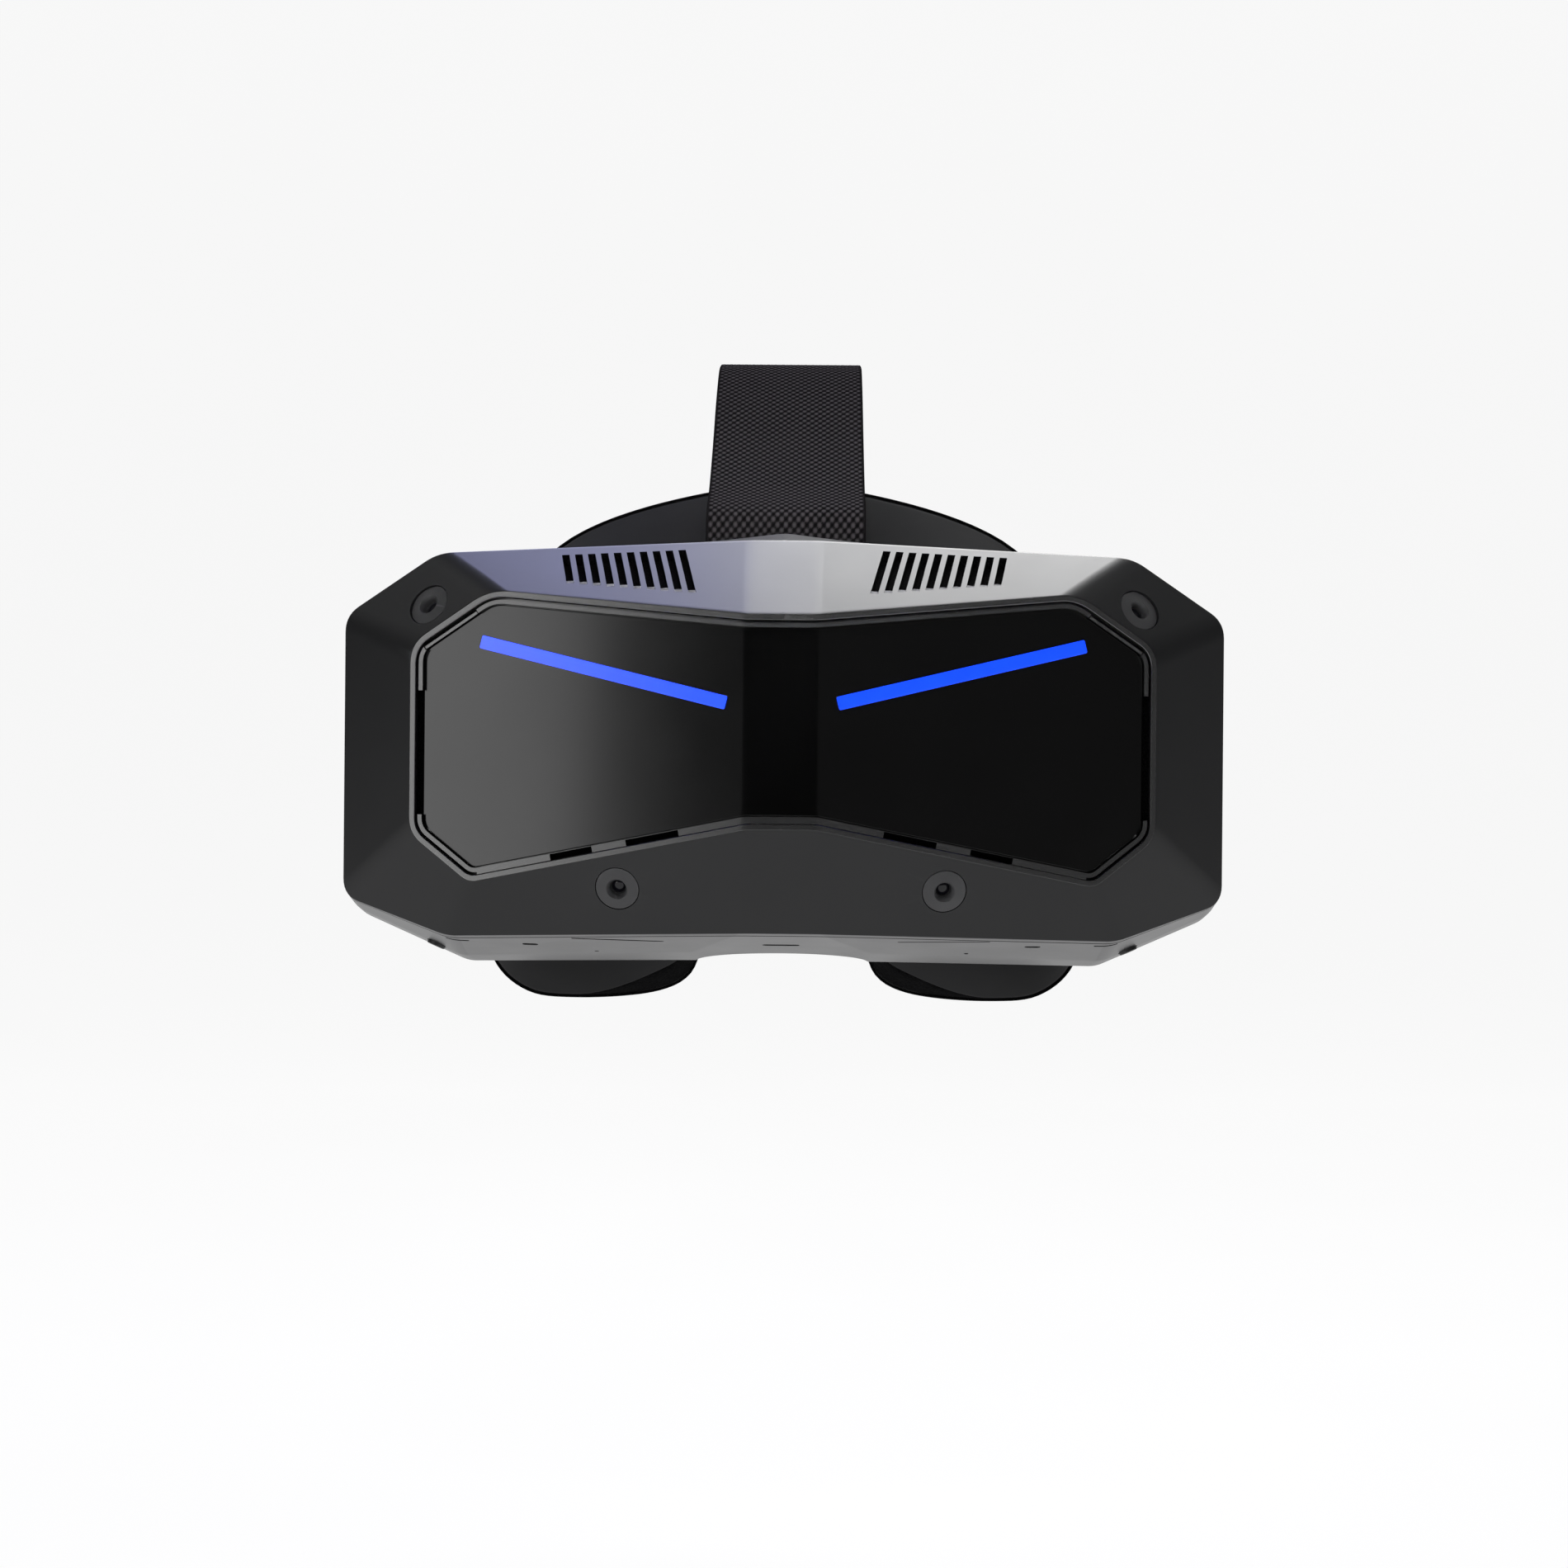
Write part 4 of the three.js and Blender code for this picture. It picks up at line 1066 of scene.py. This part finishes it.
def softened(obj, voxel, pressure, reach):
    """Blows a cover up by cloth simulation, so that it sits like cloth over foam. Lengths in metres."""
    remesh = obj.modifiers.new("even", "REMESH")
    remesh.mode = "VOXEL"
    remesh.voxel_size = voxel
    apply_modifiers(obj)
    before = [v.co.copy() for v in obj.data.vertices]
    cloth = obj.modifiers.new("cloth", "CLOTH")
    for setting, value in CLOTH.items():
        setattr(cloth.settings, setting, value)
    cloth.settings.uniform_pressure_force = pressure
    cloth.settings.effector_weights.gravity = 0.0
    cloth.collision_settings.use_self_collision = False
    scene = bpy.context.scene
    for frame_number in range(1, CLOTH_FRAMES + 1):
        scene.frame_set(frame_number)
    apply_modifiers(obj)
    scene.frame_set(1)
    for vertex, start in zip(obj.data.vertices, before):
        moved = vertex.co - start
        if moved.length > reach:
            vertex.co = start + moved.normalized() * reach
    smooth = obj.modifiers.new("finer", "SUBSURF")
    smooth.levels = smooth.render_levels = 1
    apply_modifiers(obj)


def bead(name, loop, radius):
    """A cord with eight sides along a closed loop of millimetre points."""
    rings = []
    for i, here in enumerate(loop):
        along = (loop[(i + 1) % len(loop)] - loop[i - 1]).normalized()
        out = along.cross(Vector((0, 1, 0))).normalized()
        up = out.cross(along)
        rings.append([here + out * a + up * b for a, b in ellipse(radius, radius, 0, 0, 8)])
    return loft(name, rings, closed=True)


def face_foam():
    rows = [
        shift(mix_loops(GASKET_EDGE, GASKET_BACK_INNER, 0.03), -0.6),
        mix_loops(GASKET_EDGE, foam_row(*FOAM_SECTION[0]), 0.5),
    ]
    rows += [foam_row(*at) for at in FOAM_SECTION]
    foam = loft("face_foam_body", rows, closed=True)
    softened(foam, 0.0028, 3.0, 0.0007)
    outer = bead("cord", even_loop(foam_row(-0.05, 3.4), 300), 0.45)
    inner = bead("cord", even_loop(foam_row(1.0, 3.4), 300), 0.4)
    seam = join("foam_seam_cord", [outer, inner])
    finish_piece(foam, "face_gasket", "foam", "face_foam", angle=80, weighted=False)
    finish_piece(seam, "face_gasket", "foam", angle=80, weighted=False)


# ---- Webbing ----
STRAP = {"width": 52.4, "thickness": 2.0, "columns": 19, "row": 3.46, "fine": 0.5, "relief": 0.34}
STRAP_FRONT = [
    (-42.9, 61), (-42.9, 72), (-42.4, 76.6), (-39.6, 79.6), (-18, 90), (10, 107.5),
    (34, 124.6), (56, 137.7), (67, 142.5), (77.28, 145),
]
STRAP_REAR = [
    (77.32, 145), (88, 146), (104, 145.3), (128, 137), (156, 118), (179, 92),
    (194, 68), (202, 50), (204, 40), (204, 25),
]


def weave_height(across, along):
    """1 on the crown of a yarn, 0 between yarns: yarn crowns lie in staggered rows."""
    u = math.pi * across / (STRAP["width"] / STRAP["columns"])
    v = math.pi * along / STRAP["row"]
    return max(abs(math.cos(u) * math.cos(v)), abs(math.sin(u) * math.sin(v))) ** 0.8


def woven_strap(name, path):
    """Webbing whose crowned yarns are in the mesh, with a rounded selvedge on both sides."""
    half = STRAP["width"] / 2
    middle = even_steps(smooth_curve([(0, y, z) for y, z in path], 400), STRAP["fine"])
    columns = int(STRAP["width"] / STRAP["fine"])
    crown = STRAP["relief"]
    flat_half = STRAP["thickness"] / 2 - crown
    across = [-half + 0.5 + (2 * half - 1.0) * i / columns for i in range(columns + 1)]
    selvedge_x = [(half - 0.12, 0.6), (half, 0.0), (half - 0.12, -0.6)]
    section = [(x, 1) for x in across] + selvedge_x
    section += [(-x, -level) for x, level in section]
    rows, painted_weave_light = [], []
    travelled = 0.0
    for k, here in enumerate(middle):
        ahead, behind = middle[min(k + 1, len(middle) - 1)], middle[max(k - 1, 0)]
        along = (ahead - behind).normalized()
        up = Vector((0, -along.z, along.y))
        if k:
            travelled += (here - middle[k - 1]).length
        row = []
        for x, level in section:
            selvedge = min(1.0, (half - abs(x)) / 1.4)
            height = weave_height(x, travelled) * selvedge + 0.55 * (1 - selvedge)
            if abs(level) == 1:
                lift = level * (flat_half + crown * (0.25 + 0.75 * height))
            else:
                lift = level * flat_half
            row.append(here + Vector((x, 0, 0)) + up * lift)
            # The yarn height is kept to paint shade between the yarns and a highlight on their crowns.
            painted_weave_light.append(height)
        rows.append(row)
    strap = loft(name, rows)
    attribute = strap.data.attributes.new("painted_weave_light", "FLOAT", "POINT")
    attribute.data.foreach_set("value", painted_weave_light)
    look, slot = LOOKS["webbing"]
    strap.data.materials.append(look)
    smooth_shaded(strap)
    return strap


def straps():
    front = woven_strap("strap_front_webbing", STRAP_FRONT)
    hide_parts("top_strap_front")
    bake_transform(front)
    rear = woven_strap("strap_rear_webbing", STRAP_REAR)
    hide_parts("top_strap_rear")
    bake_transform(rear)


# ---- Headband ----
PIVOT = Vector((124, -34, 5))
ARM_T, EYE_R, PIN_HOLE_R = 7.0, 8, 3.3
# Points (x, y, height) of the arm and of half the cradle, in plan.
ARM = [
    (124, -20, 22), (123, 8, 24), (117, 38, 26), (102.5, 66, 26),
    (91.5, 83, 26), (88, 91, 26), (88, 132, 26),
]
CRADLE = [(88, 134, 26), (86, 150, 30), (76, 174, 46), (52, 194, 64), (27, 203.6, 73), (0, 204, 76)]
CRADLE_T = 5.0
POD = {"y": 92, "z": -28.3, "half_y": 18, "half_z": 20, "x0": 84, "x1": 95}
DIAL = {"y": 207, "z": -2, "r": 21}


def upright_band(name, path, thickness, mid_z, corner, arc=5):
    """A band on edge along plan points (x, y, height), with rounded edges."""
    rows = []
    for k, (x, y, height) in enumerate(path):
        before, after = path[max(k - 1, 0)], path[min(k + 1, len(path) - 1)]
        side = Vector((after[1] - before[1], before[0] - after[0])).normalized()
        r = min(corner, thickness / 2 - 0.05, height / 2 - 0.05)
        section = rounded_rect(thickness / 2, height / 2, r, steps=arc)
        rows.append([(x + side.x * s, y + side.y * s, mid_z + z) for s, z in section])
    return loft(name, rows)


def arm_path():
    """The arm in plan, from the round end at the pivot to the rear pocket."""
    nose = []
    for angle in np.linspace(8, 90, 9):
        y = PIVOT.y - EYE_R * math.cos(math.radians(angle))
        nose.append((PIVOT.x, y, 2 * EYE_R * math.sin(math.radians(angle))))
    rear = [tuple(p) for p in smooth_curve(ARM, 60)]
    return nose + [(PIVOT.x, -29, 15.4), (PIVOT.x, -25, 16.6)] + rear


def arm(cad_side):
    made = upright_band(f"arm_{cad_side}_body", arm_path(), ARM_T, PIVOT.z, 2.2)
    cutters = [
        prism("hole", ellipse(PIN_HOLE_R, PIN_HOLE_R, PIVOT.y, PIVOT.z, 48), "x", 100, 150),
        prism("pocket", rounded_rect(2.1, 8.5, 0.6, 88, PIVOT.z), "y", 92, 140),
    ]
    for dz in (-8, 8):
        cutters.append(prism("groove", rounded_rect(14, 0.5, 0.45, 108, PIVOT.z + dz), "x", 90.9, 93))
    cut(made, *cutters)
    finish_piece(on_side(made, cad_side), "headband", "dark_trim", f"arm_{cad_side}")


def speaker(cad_side):
    """A loudspeaker pod, with a drilled grille towards the ear and a shallow dish outside."""
    outline = rounded_rect(POD["half_y"], POD["half_z"], 9, POD["y"], POD["z"], steps=14)
    made = prism(f"speaker_{cad_side}_body", outline, "x", POD["x0"], POD["x1"])
    bevel_sharp(made, 1.8, 4)
    holes = []
    for ring, count in ((0, 1), (2.6, 6), (5.2, 12), (7.8, 18), (10.4, 24)):
        for y, z in ellipse(ring, ring, POD["y"], POD["z"], count):
            holes.append(drill(0.75, -3, 1.4, (POD["x0"], y, z), (1, 0, 0), 12))
    profile = [(0, -0.9), (13.5, -0.9), (13.2, 0.05), (14.2, 0.05), (14.2, 3), (0, 3)]
    dish = turned("dish", profile, (POD["x1"], POD["y"], POD["z"]), (1, 0, 0), 72)
    cut(made, join("holes", holes), dish)
    finish_piece(on_side(made, cad_side), "headband", "dark_trim", f"speaker_{cad_side}")


def arm_bracket(cad_side):
    """A base on the housing with two round-ended ears, one on each side of the arm."""
    pieces = [prism("base", rounded_rect(9, 12, 2, PIVOT.x, PIVOT.z), "y", -45.9, -43.2)]
    profile = [(-43.6, -EYE_R), (PIVOT.y, -EYE_R)]
    for a in np.linspace(0, math.pi, 25)[1:-1]:
        profile.append((PIVOT.y + EYE_R * math.sin(a), -EYE_R * math.cos(a)))
    profile += [(PIVOT.y, EYE_R), (-43.6, EYE_R)]
    for side in (-1, 1):
        near, far = ARM_T / 2 + GAP, ARM_T / 2 + GAP + 3
        low, high = sorted((PIVOT.x + side * near, PIVOT.x + side * far))
        ear = prism("ear", [(y, PIVOT.z + z) for y, z in profile], "x", low, high)
        pieces.append(cut(ear, drill(PIN_HOLE_R, -30, 30, PIVOT, (1, 0, 0), 48)))
    for piece in pieces:
        bevel_sharp(piece, 0.5, 3)
    made = join(f"arm_bracket_{cad_side}_body", pieces)
    finish_piece(on_side(made, cad_side), "visor", "dark_trim", f"arm_bracket_{cad_side}")


def arm_pin(cad_side):
    half = ARM_T / 2 + 4.2
    profile = [
        (0, -half), (2.6, -half), (3.0, 0.4 - half), (3.0, half - 0.4), (2.6, half), (1.5, half),
        (1.4, half - 1.2), (0, half - 1.2),
    ]
    made = turned(f"arm_pin_{cad_side}_body", profile, PIVOT, (1, 0, 0), 48)
    finish_piece(on_side(made, cad_side), "visor", "steel", f"arm_pin_{cad_side}")


def cradle_plan(half, steps):
    plan = half + [(-x, y, height) for x, y, height in reversed(half[:-1])]
    return smooth_curve(plan, steps)


def rear_cradle():
    made = upright_band("rear_cradle_body", cradle_plan(CRADLE, 140), CRADLE_T, 0, 1.9)
    cutters = [prism("strap_slot", rounded_rect(STRAP["width"] / 2 + GAP, 1.3, 1.0, 0, 204), "z", 24, 60)]
    for dz in (-18, -9, 0, 9, 18):
        for side in (-1, 1):
            slot = prism("air_slot", rounded_rect(9, 1.5, 1.4, side * 45, dz), "y", 180, 215)
            cutters.append(slot)
    cut(made, *cutters)
    finish_piece(made, "cradle", "dark_trim", "rear_cradle")


def cradle_pad():
    """A quilted pad inside the cradle, with five pressed grooves."""
    plan = [(x * 0.88, y - 9.5, height - 8.0) for x, y, height in cradle_plan(CRADLE[2:], 90)]
    made = upright_band("cradle_pad_body", plan, 8.0, 0, 3.4, 6)
    softened(made, 0.003, 4.0, 0.0011)
    for vertex in made.data.vertices:
        x, z = vertex.co.x / MM, vertex.co.z / MM
        groove = sum(math.exp(-((x - c) / 1.6) ** 2) for c in (-38, -19, 0, 19, 38))
        if vertex.co.y / MM < 150 + 60 * math.exp(-(x / 60) ** 2):
            vertex.co.y += 0.0012 * min(groove, 1.0) * max(0.0, 1 - (abs(z) / 36) ** 4)
    finish_piece(made, "cradle", "foam", "cradle_pad", angle=80, weighted=False)


def fit_dial():
    """A dial with a scalloped rim and a shallow dish in its back."""
    lobes, count = 28, 448
    profile = [
        (0.90, 0.0), (0.965, 0.25), (1.0, 1.2), (1.0, 10.6), (0.985, 11.8),
        (0.94, 12.6), (0.88, 13.0), (0.8, 12.7), (0.76, 11.9), (0.2, 11.4),
    ]
    rows = []
    for share, y in profile:
        row = []
        for k in range(count):
            a = 2 * math.pi * k / count
            scallop = 1.1 * (0.5 + 0.5 * math.cos(lobes * a)) ** 3 * max(0.0, (share - 0.9) * 10)
            r = DIAL["r"] * share - scallop
            row.append((r * math.cos(a), DIAL["y"] + y, DIAL["z"] + r * math.sin(a)))
        rows.append(row)
    made = loft("fit_dial_body", rows)
    finish_piece(made, "dial", "rubber", "fit_dial", angle=50)


# ---- Small fittings ----
def screw_heads():
    made = []
    profile = [(0, 0), (2.3, 0), (2.3, 0.5), (1.9, 0.95), (0, 0.95)]
    for x, z in ((124, 52), (-124, 52), (122, -44), (-122, -44), (66, 57), (-66, 57)):
        head = turned("screw", profile, (x, BACK_Y - 0.2, z), (0, 1, 0), 32)
        made.append(cut(head, prism("socket", ellipse(1.0, 1.0, x, z, 6), "y", -45.9, -40)))
    finish_piece(join("screw_heads", made), "visor", "steel")


def button(node, cad_side, body):
    """A round key with a flange inside the housing and a slightly dished top."""
    profile = [
        (0, -5.2), (4.2, -5.2), (4.2, -4.2), (3.0, -4.2), (3.0, 0.45),
        (2.75, 0.66), (2.4, 0.7), (1.2, 0.55), (0, 0.5),
    ]
    made = turned(f"{node}_body", profile, BUTTON_AT, BUTTON_NORMAL, 48)
    finish_piece(on_side(made, cad_side), body, "dark_trim", node)


def board_chips():
    """Packages, small parts and connectors on the free part of the main board's front."""
    low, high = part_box("main_board")
    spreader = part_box("heat_spreader")
    picker = np.random.default_rng(7)
    chips = []
    for _ in range(90):
        x = picker.uniform(low[0] / MM + 4, high[0] / MM - 4)
        z = picker.uniform(low[2] / MM + 3, high[2] / MM - 3)
        half_x, half_z = picker.uniform(0.6, 3.4), picker.uniform(0.5, 2.4)
        near_x = spreader[0][0] / MM - half_x - 0.6 < x < spreader[1][0] / MM + half_x + 0.6
        near_z = spreader[0][2] / MM - half_z - 0.6 < z < spreader[1][2] / MM + half_z + 0.6
        if near_x and near_z:
            continue
        top = picker.uniform(0.5, 1.3)
        y = low[1] / MM
        chips.append(prism("chip", rounded_rect(half_x, half_z, 0.1, x, z, 2), "y", y - top, y + 0.05))
    finish_piece(join("board_chips", chips), "visor", "chip")


gasket_frame()
face_foam()
straps()
for cad_side in ("left", "right"):
    arm(cad_side)
    speaker(cad_side)
    arm_bracket(cad_side)
    arm_pin(cad_side)
rear_cradle()
cradle_pad()
fit_dial()
screw_heads()
button("volume_button", "left", "volume_key")
button("power_button", "right", "power_key")
board_chips()

# CAD nodes that keep their own shape: (nodes, material, bevel).
DRESSED = [
    (("rear_cover",), "dark_trim", 0.3),
    (("nose_shield",), "rubber", 0.4),
    (("chassis",), "chassis", 0.3),
    (("ipd_rod_upper", "ipd_rod_lower"), "steel", 0.15),
    (("ipd_motor", "cable_socket"), "steel", 0.3),
    (("ipd_pinion",), "steel", 0.05),
    (("main_board",), "board", 0.1),
    (("heat_spreader",), "heat_sink", 0.15),
    (("fan_housing_left", "fan_housing_right"), "chip", 0.3),
    (("fan_rotor_left", "fan_rotor_right"), "dark_trim", 0.1),
    (("eye_tube_left", "eye_tube_right"), "chip", 0.25),
    (("lens_left", "lens_right"), "lens", 0.2),
    (("display_left", "display_right"), "dark_glass", 0.15),
    (("proximity_sensor",), "dark_glass", 0.4),
    (("rack_left", "rack_right"), "seat_trim", 0.2),
    (("strap_anchor",), "dark_trim", 0.5),
]
for nodes, material, width in DRESSED:
    for node in nodes:
        dress(node, material, width)


# ---- Studio ----
FLOOR_Z = -320


def soft_box(name, place, aim, width, height, watts, color=(1, 1, 1), spread=180):
    """A rectangular area light, in metres and watts, that the camera doesn't see."""
    data = bpy.data.lights.new(name, "AREA")
    data.shape = "RECTANGLE"
    data.size = width
    data.size_y = height
    data.energy = watts
    data.color = color
    data.spread = math.radians(spread)
    light = linked(name, data)
    light.location = place
    light.rotation_euler = (Vector(aim) - Vector(place)).to_track_quat("-Z", "Y").to_euler()
    light.visible_camera = False


def set_world(seen, cast):
    """A pale backdrop for the camera, and a dimmer glow for everything else."""
    world = bpy.data.worlds.new("studio")
    bpy.context.scene.world = world
    world.use_nodes = True
    tree = world.node_tree
    background = tree.nodes["Background"]
    background.inputs["Color"].default_value = (*cast, 1)
    pale = tree.nodes.new("ShaderNodeBackground")
    pale.inputs["Color"].default_value = (*seen, 1)
    mix = tree.nodes.new("ShaderNodeMixShader")
    path = tree.nodes.new("ShaderNodeLightPath")
    tree.links.new(path.outputs["Is Camera Ray"], mix.inputs["Fac"])
    tree.links.new(background.outputs[0], mix.inputs[1])
    tree.links.new(pale.outputs[0], mix.inputs[2])
    tree.links.new(mix.outputs[0], tree.nodes["World Output"].inputs["Surface"])


def pale_floor():
    """A pale floor that runs up into a pale wall far behind."""
    start_y, bend_y, bend_r, half_width = -1600, 1800, 1500, 6000
    profile = [(start_y, FLOOR_Z)]
    for a in np.linspace(0, math.pi / 2, 17):
        profile.append((bend_y + bend_r * math.sin(a), FLOOR_Z + bend_r * (1 - math.cos(a))))
    profile.append((bend_y + bend_r, 5200))
    vertices = [(x, y, z) for y, z in profile for x in (-half_width, half_width)]
    faces = [(2 * i, 2 * i + 1, 2 * i + 3, 2 * i + 2) for i in range(len(profile) - 1)]
    floor = new_object("floor", vertices, faces)
    s = Shader("floor_paper", (0.10, 0.10, 0.10), 0.9, specular=0.1)
    s.vary_color(s.noise(3, 3), (0.10, 0.10, 0.10), (0.11, 0.11, 0.11))
    s.set("Emission Color", (1.0, 1.0, 1.0, 1.0))
    s.set("Emission Strength", 0.90)
    floor.data.materials.append(s.material)
    smooth_shaded(floor)


set_world((0.92, 0.92, 0.92), (0.012, 0.012, 0.012))
pale_floor()
soft_box("key_left", (-0.88, -0.96, 0.02), (-0.05, -0.1, 0), 0.46, 0.95, 3.1)
soft_box("top_white", (0.20, 0.54, 0.92), (0.05, -0.05, 0.05), 0.52, 0.46, 8.0)
soft_box("top_lavender", (-0.20, 0.54, 0.92), (-0.05, -0.05, 0.05), 0.24, 0.46, 2.2, (0.52, 0.55, 1.0))
soft_box("strap_fill", (0, -0.75, 0.46), (0, -0.04, 0.085), 0.16, 0.1, 0.14, spread=24)
soft_box("fill_right", (0.69, -1.12, -0.01), (0.06, -0.1, 0), 0.7, 0.8, 0.11)
soft_box("side_left", (-1.25, 0, 1.05), (0, -0.05, 0), 1.0, 1.0, 1.5)
soft_box("side_right", (1.25, 0, 1.05), (0, -0.05, 0), 1.0, 1.0, 0.9)
bpy.context.scene.view_settings.view_transform = "Standard"
